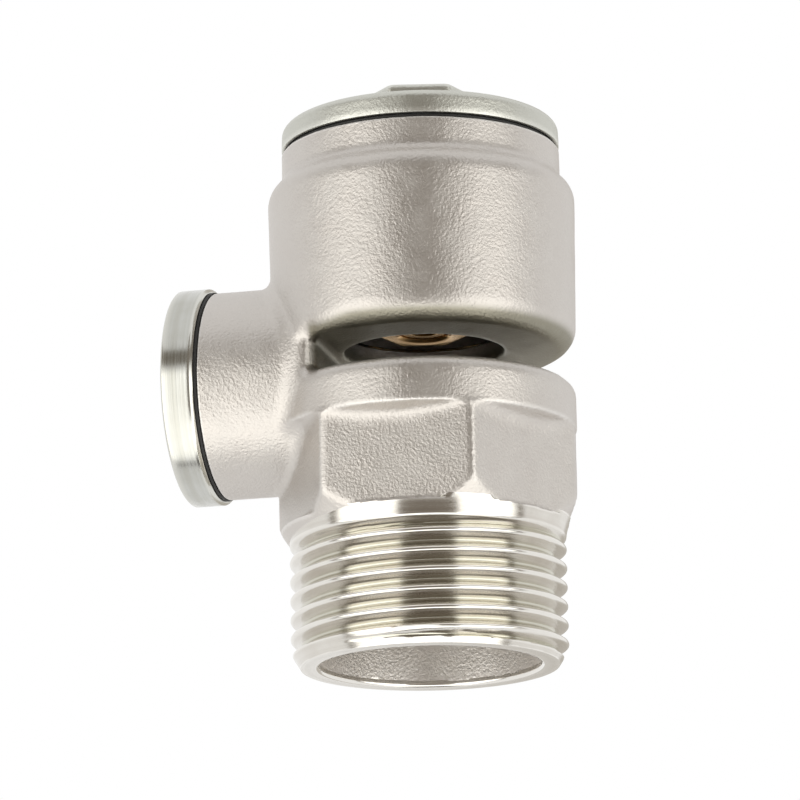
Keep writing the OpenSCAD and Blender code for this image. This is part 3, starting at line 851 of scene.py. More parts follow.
class Dresser:
    """Turns surfaces into named objects that ride on the frame's bodies."""

    def __init__(self) -> None:
        """Starts with no materials made."""
        self.made: dict[str, bpy.types.Material] = {}

    def material(self, finish: Any) -> bpy.types.Material:
        """The finish's material, made once."""
        if finish.name not in self.made:
            self.made[finish.name] = finish.material()
        return self.made[finish.name]

    def piece(
        self,
        name: str,
        surface: Surface,
        body: str,
        slot: str,
        finish: Any,
        replaces: Sequence[str] = (),
        crease_deg: float = 38.0,
    ) -> bpy.types.Object:
        """Makes an object of a surface and ties it to the frame.

        Args:
            name: Name of the object.
            surface: Its closed surface in millimetres.
            body: CAD body that it rides on.
            slot: Material slot that its finish belongs to; not used.
            finish: The finish to give it.
            replaces: CAD nodes that it stands for.
            crease_deg: Angle above which an edge is shaded sharp.

        Returns:
            The object.
        """
        points, faces = surface.faces()
        mesh = bpy.data.meshes.new(name)
        mesh.from_pydata((points * MM).tolist(), [], faces)
        mesh.update()
        mesh.shade_smooth()
        self.mark_edges(mesh)
        mesh.set_sharp_from_angle(angle=math.radians(crease_deg))
        mesh.materials.append(self.material(finish))
        piece = bpy.data.objects.new(name, mesh)
        bpy.context.scene.collection.objects.link(piece)
        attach(piece, body)
        if replaces:
            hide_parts(*replaces)
        return piece

    @staticmethod
    def mark_edges(mesh: bpy.types.Mesh) -> None:
        """Stores how convex the surface is at each point, from -1 in a tight inside corner
        to 1 on a sharp rim: the mean over a point's edges of (n - m)·(p - q) / |p - q|²,
        which is the curvature, less a little and scaled to that range.

        Args:
            mesh: The mesh, in metres.
        """
        count = len(mesh.vertices)
        place, normal = np.empty(count * 3, np.float32), np.empty(count * 3, np.float32)
        mesh.vertices.foreach_get("co", place)
        mesh.vertices.foreach_get("normal", normal)
        pairs = np.empty(len(mesh.edges) * 2, np.int32)
        mesh.edges.foreach_get("vertices", pairs)
        p, n, (a, b) = place.reshape(-1, 3) / MM, normal.reshape(-1, 3), pairs.reshape(-1, 2).T
        gap = p[a] - p[b]
        bend = ((n[a] - n[b]) * gap).sum(axis=1) / np.maximum((gap**2).sum(axis=1), 1e-4)
        total = np.bincount(a, bend, count) + np.bincount(b, bend, count)
        mean = total / np.maximum(
            np.bincount(a, minlength=count) + np.bincount(b, minlength=count), 1)
        edge = np.sign(mean) * np.clip((np.abs(mean) - 0.12) / 0.9, 0, 1)
        mesh.attributes.new("edge", "FLOAT", "POINT").data.foreach_set(
            "value", edge.astype(np.float32))


@dataclass
class Casting:
    """The body: a casting, with its threads, seat and cap bore cut on a lathe."""

    upper_r: float = 18.55  # radius of the upper drum at drum_z
    drum_z: float = 49.0
    taper: float = 0.018  # draft of the upper drum, radius over height
    lower_r: float = 18.25
    corner_r: float = 18.6  # radius that the spanner flats' corners are turned down to
    hex_apothem: float = 16.0
    hex_low: float = 17.05
    foot_slope: float = 0.15  # fall of the ledge under the flats, height over radius
    hex_high: float = 27.5
    ledge_slope: float = 0.45
    floor_z: float = 34.1
    ceiling_z: float = 38.5
    gap_corner: float = 1.0  # radius of the gap's corners at the web
    rim_r: tuple[float, float] = (1.7, 2.7)  # rounding of the gap's rim, and of its upper front
    web_x: float = 10.6
    web_t: float = 2.6
    shoulder_z: float = 60.05  # height at which the shoulder's arc would be level
    shoulder_r: float = 3.2
    collar_r: float = 16.95
    collar_z: float = 63.5
    port_r: float = 12.65
    port_reach: float = 25.2
    passage_r: float = 10.54
    cavity_r: float = 13.8
    cavity_top: float = 31.7
    thread_end: float = 15.4  # height at which the turned neck starts to widen
    spigot_top: float = 17.5
    flare_r: float = 17.21  # radius of the cast flare at the spigot's top
    flare_slope: float = 0.68  # radius over height
    inlet_r: float = 13.3
    inlet_top: float = 18.2
    spigot_r: float = 14.4  # where the cast skin ends inside the turned spigot
    vent_r: float = 9.7
    chamber_z: float = 41.0
    chamber_r: float = 15.0
    cell: float = 0.52  # grid step of the casting's mesh

    def neck_radius(self, z: Array) -> Array:
        """Radius of the turned neck: the thread's own up to the thread's end, and from there,
        with t the height above it, 16.62 + 0.09 t + 0.094 t²."""
        t = np.maximum(z - self.thread_end, 0)
        return G1_INLET.major + 0.09 * t + 0.094 * t * t

    def drum_radius(self, z: Array) -> Array:
        """Radius of the cast drums at a height: the corners' radius beside the spanner
        flats, the lower drum's above them, and the tapered upper one's past the gap.

        Args:
            z: Heights.

        Returns:
            The radius at each height.
        """
        lower = self.corner_r + (self.lower_r - self.corner_r) * smooth_step((z - 27.6) / 1.4)
        upper = self.upper_r + self.taper * (z - self.drum_z)
        share = smooth_step((z - self.floor_z) / (self.ceiling_z - self.floor_z))
        return lower + (upper - lower) * share

    def shape(self, x: Array, y: Array, z: Array) -> Array:
        """The casting as a field, negative in the metal.

        Drums, port and collar are joined with fillets, the air gap is taken out with its
        rims rounded, the spanner flats are the hexagon's distance joined to sloped ledges,
        and the water ways are taken out last. A slow waviness of a few hundredths of a
        millimetre is what a cast skin has.

        Args:
            x: Places along X.
            y: Places along Y.
            z: Heights.

        Returns:
            The field, negative in the metal.
        """
        rho = np.hypot(x, y)
        toward = x / np.maximum(rho, 1e-6)
        drop = 1.5 * ((1 - toward) / 2) ** 4
        flare = rho - self.flare_r - self.flare_slope * (z + drop - self.spigot_top)
        flare = flare / math.hypot(1, self.flare_slope)
        skin = round_common(rho - self.drum_radius(z), flare, 0.5)
        metal = round_common(skin, self.hexagon(x, y, z), 0.35)
        metal = round_common(metal, z - self.shoulder_z, self.shoulder_r)
        collar = round_common(rho - self.collar_r, z - self.collar_z, 0.2)
        metal = round_union(metal, np.maximum(collar, 50 - z), 0.7)
        out = -x
        around = np.hypot(y, z - PORT_Z)
        port = np.maximum(round_common(around - self.port_r, out - self.port_reach + 0.02, 0.2),
                          12 - out)
        fillet = 0.8 + 0.5 * smooth_step((z - 22.5) / 4)
        gap, lean = self.air_gap(x, z)
        front = smooth_step((z - 35.5) / 1.6) * smooth_step((x + 9.5) / 5)
        rim = self.rim_r[0] + (self.rim_r[1] - self.rim_r[0]) * front
        metal = round_edge(round_union(metal, port, fillet), gap, rim, toward * lean)
        metal = metal + self.waviness(x, y, z)
        core = np.maximum(rho - self.spigot_r, np.maximum(0.7 - z, z - 17))
        metal = np.minimum(np.maximum(metal, 14.9 - z), core)
        bore = (np.where(z < self.inlet_top, self.inlet_r, self.cavity_r)
                + 0.5 * self.waviness(z, x, y))
        empty = round_common(rho - bore, z - self.cavity_top, 1.2)
        passage = np.where(out > 17.2, 11.2, self.passage_r)
        reach = np.minimum(self.web_x + self.web_t - out, z - self.cavity_top)
        empty = np.minimum(empty, np.maximum(np.maximum(around - passage, reach), -out))
        chamber = np.where(z > 50.6, 15.9, self.chamber_r)
        floor = np.where(rho < 10.5, self.chamber_z + 0.2, self.chamber_z)
        empty = np.minimum(empty, np.maximum(rho - chamber, floor - z))
        hole = np.maximum(rho - self.vent_r, np.abs(z - 39.75) - 2.2)
        return np.maximum(round_common(metal, -hole, 0.4), -empty)

    def air_gap(self, x: Array, z: Array) -> tuple[Array, Array]:
        """Field that is negative outside the air gap, a slot open towards +X whose end at
        the web has rounded corners, and how much of its slope is along X.

        Args:
            x: Places along X.
            z: Heights.

        Returns:
            The gap's field, and the X part of its slope.
        """
        middle = (self.floor_z + self.ceiling_z) / 2
        half = (self.ceiling_z - self.floor_z) / 2
        deep, high = -self.web_x - x, np.abs(z - middle) - half
        share = np.maximum(deep + self.gap_corner, 0)
        reach = np.maximum(np.hypot(share, np.maximum(high + self.gap_corner, 0)), 1e-6)
        return -round_common(deep, high, self.gap_corner), share / reach

    def hexagon(self, x: Array, y: Array, z: Array) -> Array:
        """Field that is negative where the spanner flats leave metal.

        The distance across is the 110-norm of the distances along the two nearest flats'
        normals, which rounds the corners to about 0.7 mm. Above and below the flats,
        ledges are cones about the axis, joined to the flats by fillets.

        Args:
            x: Places along X.
            y: Places along Y.
            z: Heights.

        Returns:
            The field, negative in the metal.
        """
        rho = np.hypot(x, y)
        sector = math.pi / 3
        folded = np.abs(np.arctan2(y, x) % sector - sector / 2)
        near, next_one = rho * np.cos(folded), np.maximum(rho * np.cos(sector - folded), 1e-6)
        across = near * (1 + (next_one / np.maximum(near, 1e-6)) ** 110) ** (1 / 110)
        above = self.hex_high + self.ledge_slope * (rho - self.hex_apothem) - z
        below = z - self.hex_low + self.foot_slope * (rho - self.hex_apothem)
        sides = round_union(across - self.hex_apothem, above / math.hypot(1, self.ledge_slope), 1.0)
        return round_union(sides, below, 0.25)

    @staticmethod
    def waviness(x: Array, y: Array, z: Array) -> Array:
        """Slow waves of a cast skin, 4 to 6 mm long: a sum of products of sines.

        Args:
            x: Places along X.
            y: Places along Y.
            z: Heights.

        Returns:
            The height of the waves.
        """
        one = np.sin(0.9 * x + 0.5 * z + 0.4) * np.sin(0.8 * y - 0.7 * z + 1.3)
        two = np.sin(1.4 * y + 0.6 * x - 0.2) * np.sin(1.2 * z - 0.5 * x + 2.1)
        return 0.012 * one + 0.008 * two

    def casting(self) -> Surface:
        """The cast skin and water ways."""
        axes = (graded(-25.75, 19.3, self.cell, (-25.35, -24.85, 0.1)),
                graded(-19.4, 19.4, self.cell),
                graded(0.33, 64.2, self.cell, (16.6, 18.2, 0.26), (27.4, 29.4, 0.26),
                       (33.6, 40.1, 0.36), (63.1, 63.65, 0.11)))
        return contour(self.shape, axes)

    def inlet_thread(self) -> Surface:
        """The threaded spigot and the turned neck, in one turned surface.

        Outside, the radius is the least of the end chamfer, the neck less the thread's
        groove, which fades out under the neck and at the end, and the ledge below the
        spanner flats.

        Returns:
            The spigot's surface.
        """
        angle = np.linspace(0, TURN, 289)
        high = self.spigot_top
        z = G1_INLET.climb(0.0, high, 20, angle)
        fade = smooth_step((15.45 - z) / 1.6) * smooth_step((z - 0.1) / 1.2)
        radius = self.neck_radius(z) - G1_INLET.cut(angle[None, :], z) * fade
        chamfer = 15.5 + 0.63 * z
        sector = math.pi / 3
        folded = np.abs(angle % sector - sector / 2)
        ledge = self.hex_apothem + np.maximum(self.hex_low - z, 0) / self.foot_slope
        radius = np.minimum(np.minimum(radius, chamfer), ledge / np.cos(folded)[None, :] - 0.05)
        outside = ring_points(radius, z, angle[None, :])
        r = self.inlet_r
        inner = np.array([(15.6, high), (15.5, high), (14.3, high), (14.2, high - 0.1),
                          (14.2, 9.0), (14.2, 1.2), (14.15, 1.0), (13.4, 0.92), (r, 0.85),
                          (r, 0.45), (r, 0.3), (r + 0.06, 0.2), (r + 0.2, 0.05),
                          (r + 0.27, 0.0), (r + 0.36, 0.0), (14.8, 0.0), (14.95, 0.0)])
        inside = circles_of(inner, angle[None, :])
        return sheet(np.concatenate([outside, inside])).outward()

    def port_thread(self) -> Surface:
        """The port's female thread, as a sleeve sunk in the port's wall.

        Returns:
            The sleeve's surface.
        """
        angle = np.linspace(0, TURN, 97)
        z = G12_PORT.climb(17.25, 24.6, 10, angle)
        lead = 0.9 * smooth_step((z - 23.9) / 0.7)
        radius = G12_PORT.major + 0.05 - G12_PORT.cut(angle[None, :], z)
        radius = np.maximum(radius, G12_PORT.major - G12_PORT.depth + lead)
        threaded = ring_points(radius, z, angle[None, :])
        rest = np.array([(10.6, 24.8), (10.9, 25.1), (10.95, 25.14), (11.05, 25.16),
                         (11.5, 25.16), (11.6, 25.1), (11.6, 17.3), (11.5, 17.15),
                         (9.9, 17.15), (9.7, 17.2)])
        closed = sheet(np.concatenate([threaded, circles_of(rest, angle[None, :])]))
        return closed.outward().on_port()

    def cap_bore(self) -> Surface:
        """The lathe-cut upper bore as a sleeve sunk in the wall: the ledge for the guide,
        its bore, the groove for the retaining ring, and the cap's female thread.

        Returns:
            The sleeve's surface.
        """
        angle = np.linspace(0, TURN, 193)
        low = np.array([(15.85, 50.55), (12.95, 50.55), (12.85, 50.58), (12.8, 50.65),
                        (12.8, 51.85), (12.85, 51.93), (12.95, 51.95), (14.0, 51.95),
                        (14.1, 51.95), (14.1, 52.1), (14.1, 53.85), (14.1, 53.95),
                        (14.8, 53.95), (14.9, 53.95), (14.9, 54.05), (14.9, 54.95),
                        (14.9, 55.05), (14.8, 55.05), (14.1, 55.05), (14.1, 55.15),
                        (14.1, 55.6)])
        z = M30_CAP.climb(55.7, 62.9, 10, angle)
        radius = M30_CAP.major + 0.08 - M30_CAP.cut(angle[None, :], z)
        top = np.array([(15.1, 63.0), (15.45, 63.33), (15.55, 63.45), (15.65, 63.47),
                        (15.9, 63.47), (16.0, 63.4), (16.0, 63.3), (16.0, 50.8),
                        (16.0, 50.6)])
        parts = [circles_of(low, angle[None, :]),
                 ring_points(radius, z, angle[None, :]),
                 circles_of(top, angle[None, :])]
        return sheet(np.concatenate(parts)).outward()

    def valve_seat(self) -> Surface:
        """The raised seat round the vent hole, with narrow chamfers."""
        return turned_piece([(10.4, 40.9, 0.0), (12.2, 40.9, 0.0), (12.2, 41.03, 0.05),
                             (11.42, 41.03, 0.12), (11.3, 41.6, 0.12), (9.72, 41.6, 0.12),
                             (9.72, 41.18, 0.03), (10.4, 41.18, 0.0)])

    def build(self, dresser: Dresser) -> list[bpy.types.Object]:
        """Makes the body's pieces.

        Args:
            dresser: Makes and dresses the objects.

        Returns:
            The body's pieces.
        """
        return [
            dresser.piece("body_casting", self.casting(), "base", "plated_cast", BLASTED,
                          ["body"], 55),
            dresser.piece("body_inlet_thread", self.inlet_thread(), "base", "plated_turned",
                          TURNED_NICKEL),
            dresser.piece("body_port_thread", self.port_thread(), "base", "plated_turned",
                          PLUG_NICKEL),
            dresser.piece("body_cap_thread", self.cap_bore(), "base", "plated_turned",
                          TURNED_NICKEL),
            dresser.piece("body_valve_seat", self.valve_seat(), "base", "plated_turned",
                          TURNED_NICKEL),
        ]


@dataclass
class ScrewCap:
    """The cap over the chamber, cast with a small hexagon, and its gasket."""

    rim_r: float = 16.95
    top_z: float = 67.05
    boss_z: float = 70.95
    boss_apothem: float = 6.5
    boss_turn: float = 42.6  # direction of one of its flats
    hollow_r: float = 13.19
    hollow_z: float = 65.35
    skirt_z: float = 57.55

    def cap(self) -> Surface:
        """The cap in one surface, row by row from the hollow's roof out over the threaded
        skirt and the rim to the middle of the hexagon's top. A row's radius is a circle's
        or the rounded hexagon's.

        Returns:
            The cap's surface.
        """
        angle = np.linspace(0, TURN, 289)
        around = angle[None, :]
        roof, wall, foot_z = self.hollow_z, self.hollow_r, self.skirt_z
        low = np.array([(0, roof), (12.2, roof), (12.9, 65.25), (13.12, 65.05),
                        (wall, 64.8), (wall, 58.1), (wall, 57.75), (13.3, 57.6),
                        (13.45, foot_z), (14.0, foot_z), (14.1, 57.56)])
        start = 57.65
        z = M30_CAP.climb(start, 63.9, 10, angle)
        lead = 14.25 + (z - start) * 1.2
        radius = np.minimum(M30_CAP.major - 0.02 - M30_CAP.cut(around, z), lead)
        relief = smooth_step((z - 62.9) / 0.7)
        radius = radius * (1 - relief) + 14.1 * relief
        rim = np.array([(14.1, 64.1), (14.15, 64.22), (14.3, 64.25), (16.4, 64.25),
                        (16.46, 64.2), (16.5, 64.08), (16.6, 64.05), (16.8, 64.05),
                        (16.91, 64.09), (16.95, 64.2), (16.94, 64.9), (16.9, 65.7)])
        arc = np.linspace(0.05, math.pi / 2, 9)
        edge = np.stack([self.rim_r - 1.2 + 1.15 * np.cos(arc),
                         self.top_z - 1.15 + 1.15 * np.sin(arc)], axis=1)
        flat = np.array([(15.5, self.top_z), (13.0, self.top_z), (10.5, self.top_z)])
        circles = [circles_of(low, around), ring_points(radius, z, around)]
        circles += [circles_of(t, around) for t in (rim, edge, flat)]
        foot = crown = np.linspace(0, math.pi / 2, 6)
        rows = np.concatenate([
            np.stack([self.boss_apothem + 0.15 + 1.1 * (1 - np.sin(foot)),
                      self.top_z + 1.1 * (1 - np.cos(foot))], axis=1),
            [(self.boss_apothem + 0.1, self.top_z + 1.6), (self.boss_apothem, self.boss_z - 0.9)],
            np.stack([self.boss_apothem - 0.7 + 0.7 * np.cos(crown),
                      self.boss_z - 0.75 + 0.7 * np.sin(crown)], axis=1),
            [(self.boss_apothem - 0.9, self.boss_z - 0.03), (3.0, self.boss_z),
             (0.001, self.boss_z)],
        ])
        hexagons = hexagon_radius(around, rows[:, :1], 0.8, self.boss_turn)
        circles.append(ring_points(hexagons, rows[:, 1:], around))
        return sheet(np.concatenate(circles), close_rows=False).outward()

    def gasket(self) -> Surface:
        """The flat gasket, its edge squeezed a little proud in the middle."""
        return turned_piece([(15.1, 63.51, 0.1), (16.3, 63.51, 0.15), (16.42, 63.88, 0.2),
                             (16.3, 64.24, 0.15), (15.1, 64.24, 0.1)], 192)

    def build(self, dresser: Dresser) -> list[bpy.types.Object]:
        """Makes the cap and its gasket.

        Args:
            dresser: Makes and dresses the objects.

        Returns:
            The cap and its gasket.
        """
        return [
            dresser.piece("top_cap_casting", self.cap(), "cap", "plated_cast", CAP_BLASTED,
                          ["top_cap"]),
            dresser.piece("top_cap_gasket_ring", self.gasket(), "cap_gasket", "gasket",
                          GASKET_RUBBER, ["top_cap_gasket"]),
        ]


@dataclass
class PortPlug:
    """The turned plug that shuts the side port, and its gasket."""

    flange_r: float = 13.25
    seat_s: float = 25.6
    face_s: float = 29.55
    socket_apothem: float = 5.0

    def plug(self) -> Surface:
        """The plug in one surface, row by row from the bottom of its socket out over the
        flange and the threaded shank to the bottom of the shank's hollow. Its height is
        the distance out along the port.

        Returns:
            The plug's surface.
        """
        angle = np.linspace(0, TURN, 241)
        around = angle[None, :]
        top = self.face_s
        flange, seat, flat = self.flange_r, self.seat_s, self.socket_apothem
        hexes = np.array([(0.001, top - 4.95), (2.5, top - 4.6), (4.8, top - 4.55),
                          (4.95, top - 4.5), (flat, top - 4.35), (flat, top - 0.75),
                          (flat, top - 0.6)])
        bell = hexagon_radius(around, hexes[:, :1], 0.25, 30.0)
        flare = np.linspace(0, 1, 6)[:, None]
        mouth = np.maximum(hexagon_radius(around, flat, 0.25, 30.0),
                           5.05 + 0.95 * flare)
        mouth_s = top - 0.6 + 0.6 * flare
        face = np.array([(6.15, top), (9.5, top), (12.9, top), (12.98, top)])
        rim = np.array([(13.0, top), (13.06, top - 0.02), (13.2, top - 0.16),
                        (13.24, top - 0.22), (flange, top - 0.3), (flange, top - 1.0),
                        (flange, 26.3), (flange, 26.0), (13.23, 25.93),
                        (12.98, 25.66), (12.92, 25.61), (12.8, seat), (10.0, seat),
                        (9.6, 25.58), (9.45, 25.45), (9.42, 25.2), (9.42, 24.6)])
        start = 18.65
        z = G12_PORT.climb(start, 24.5, 12, angle)[::-1]
        radius = np.minimum(G12_PORT.major - 0.02 - G12_PORT.cut(around, z),
                            9.3 + (z - start) * 1.1)
        relief = smooth_step((z - 23.7) / 0.7)
        radius = radius * (1 - relief) + 9.42 * relief
        hollow = np.array([(9.2, 18.6), (9.1, 18.58), (8.3, 18.58), (8.15, 18.65), (8.08, 18.8),
                           (8.08, 21.2), (8.0, 21.5), (7.8, 21.68), (7.5, 21.7), (4.0, 21.72),
                           (0.001, 21.9)])
        parts = [ring_points(bell, hexes[:, 1:], around), ring_points(mouth, mouth_s, around)]
        parts += [circles_of(t, around) for t in (face, rim)]
        parts.append(ring_points(radius, z, around))
        parts.append(circles_of(hollow, around))
        return sheet(np.concatenate(parts), close_rows=False).outward().on_port()

    def gasket(self) -> Surface:
        """The flat gasket under the plug."""
        return turned_piece([(10.58, 25.21, 0.08), (12.72, 25.21, 0.08), (12.8, 25.4, 0.12),
                             (12.72, 25.59, 0.08), (10.58, 25.59, 0.08)], 160).on_port()

    def build(self, dresser: Dresser) -> list[bpy.types.Object]:
        """Makes the plug and its gasket.

        Args:
            dresser: Makes and dresses the objects.

        Returns:
            The plug and its gasket.
        """
        return [
            dresser.piece("side_plug_turned", self.plug(), "plug", "plated_turned", PLUG_NICKEL,
                          ["side_plug"], 30),
            dresser.piece("side_plug_gasket_ring", self.gasket(), "plug_gasket", "gasket",
                          GASKET_RUBBER, ["side_plug_gasket"]),
        ]


@dataclass
class ValveGroup:
    """Everything that rises and falls with the stem."""

    nut_apothem: float = 5.0
    nut_turn: float = 13.0
    nut_low: float = 40.8
    nut_high: float = 43.4

    def nut(self) -> Surface:
        """A hexagon nut: the radius is the least of the hexagon's and of 30 degree cones
        that turn its corners off at both ends, round a chamfered threaded bore. Over its
        lowest 0.35 mm the flats draw in by 0.4 mm.

        Returns:
            The nut's surface.
        """
        angle = np.linspace(0, TURN, 193)
        around = angle[None, :]
        height = self.nut_high - self.nut_low
        rise = np.array([0, 0.04, 0.1, 0.2, 0.3, 0.4, 0.5, 0.7])
        z = np.concatenate([rise, [height / 2], height - rise[::-1]])[:, None]
        cone = np.where(z < height / 2, 5.3, 4.75) + np.minimum(z, height - z) * 1.75
        apothem = self.nut_apothem - 0.4 * smooth_step((0.35 - z) / 0.35)
        hexagon = hexagon_radius(around, apothem, 0.2, self.nut_turn + 30)
        outside = ring_points(np.minimum(hexagon, cone), z + self.nut_low, around)
        inner = np.array([(4.6, 43.4), (3.7, 43.4), (3.45, 43.3), (3.04, 42.95), (3.02, 42.8),
                          (3.02, 41.3), (3.03, 41.15), (3.2, 40.92), (3.3, 40.84),
                          (3.42, 40.8), (4.6, 40.8)])
        inside = circles_of(inner, around)
        return sheet(np.concatenate([outside, inside])).outward()

    def lock_washer(self) -> Surface:
        """A split washer: a rectangle carried round one turn less the split, rising 0.06 mm
        on the way.

        Returns:
            The washer's surface.
        """
        turn = np.linspace(math.radians(5), TURN - math.radians(5), 120)
        rise = 43.75 + 0.06 * (turn / TURN - 0.5)
        path = ring_points(np.full_like(turn, 3.98), rise, turn)
        side = np.stack([np.cos(turn), np.sin(turn), np.zeros_like(turn)], axis=1)
        lift = np.broadcast_to([0.0, 0.0, 1.0], side.shape)
        outline = rounded([(-0.9, -0.31, 0.08), (0.9, -0.31, 0.08), (0.9, 0.31, 0.08),
                           (-0.9, 0.31, 0.08)], 3)
        return swept(path, side, lift, outline)

    def stem(self) -> Surface:
        """The stem: a turned bar with an end chamfer, a flange and a clip groove."""
        return turned_piece([(0, 41.95, 0), (1.0, 41.75, 0.2), (1.75, 41.2, 0.1),
                             (2.7, 41.2, 0.12), (2.98, 41.5, 0.08), (2.98, 48.3, 0.05),
                             (5, 48.3, 0.15), (5, 49.8, 0.2), (2.98, 49.8, 0.15),
                             (2.98, 62.95, 0.05),
                             (2.3, 62.95, 0.04), (2.3, 63.55, 0.04), (2.98, 63.55, 0.05),
                             (2.98, 63.95, 0.08), (2.6, 64.35, 0.08), (0, 64.35, 0)], 96)

    def clip_shape(self, x: Array, y: Array, z: Array) -> Array:
        """The E-clip as a field: a disc less the stem's bore, a mouth towards +X and two
        round reliefs, which leaves three prongs.

        Args:
            x: Places along X.
            y: Places along Y.
            z: Heights.

        Returns:
            The field, negative in the metal.
        """
        rho = np.hypot(x, y)
        ring = round_common(rho - 5.0, 2.32 - rho, 0.15)
        mouth = np.maximum(np.abs(y) - 1.95, -x)
        reliefs = np.hypot(np.abs(y) - 2.58, x + 1.2) - 1.1
        return round_common(np.maximum(ring, -np.minimum(mouth, reliefs)),
                            np.abs(z - 63.25) - 0.29, 0.1)

    def clip(self) -> Surface:
        """The E-clip. Its outline has prongs and a mouth, which no single profile carried
        along a path gives, so it is meshed from a field."""
        return contour(self.clip_shape, (graded(-5.21, 5.2, 0.13), graded(-5.23, 5.2, 0.13),
                                         graded(62.815, 63.7, 0.1)))

    def build(self, dresser: Dresser) -> list[bpy.types.Object]:
        """Makes the valve's pieces.

        Args:
            dresser: Makes and dresses the objects.

        Returns:
            The valve's pieces.
        """
        seal = turned_piece([(3.08, 44.92, 0.1), (11.8, 44.92, 0.3), (11.8, 47.08, 0.3),
                             (3.08, 47.08, 0.1)])
        backing = turned_piece([(3.05, 47.1, 0.08), (11, 47.1, 0.12), (11, 48.3, 0.25),
                                (3.05, 48.3, 0.08)])
        clamp = turned_piece([(3.05, 44.11, 0.06), (7.25, 44.11, 0.18), (7.25, 44.9, 0.12),
                              (3.05, 44.9, 0.06)])
        cup = turned_piece([(3.05, 62.36, 0.05), (5.0, 62.36, 0.25), (5.3, 61.1, 0.05),
                            (5.3, 61.07, 0.02), (5.9, 61.07, 0.08), (5.9, 62.95, 0.55),
                            (3.05, 62.95, 0.1)], 120)
        brass, steel = "brass", "spring_steel"
        return [
            dresser.piece("stem_nut_hexagon", self.nut(), "valve", brass, TURNED_BRASS,
                          ["stem_nut"], 30),
            dresser.piece("lock_washer_split", self.lock_washer(), "valve", steel, SPRING_STEEL,
                          ["lock_washer"]),
            dresser.piece("clamp_washer_plate", clamp, "valve", brass, TURNED_BRASS,
                          ["clamp_washer"]),
            dresser.piece("seal_disc_moulded", seal, "valve", "seal", SEAL_RUBBER,
                          ["seal_disc"]),
            dresser.piece("backing_plate_turned", backing, "valve", brass, TURNED_BRASS,
                          ["backing_plate"]),
            dresser.piece("valve_stem_turned", self.stem(), "valve", brass, TURNED_BRASS,
                          ["valve_stem"]),
            dresser.piece("spring_cup_drawn", cup, "valve", "sheet_steel", SHEET_STEEL,
                          ["spring_cup"]),
            dresser.piece("stem_clip_stamped", self.clip(), "valve", steel, SPRING_STEEL,
                          ["stem_clip"]),
        ]


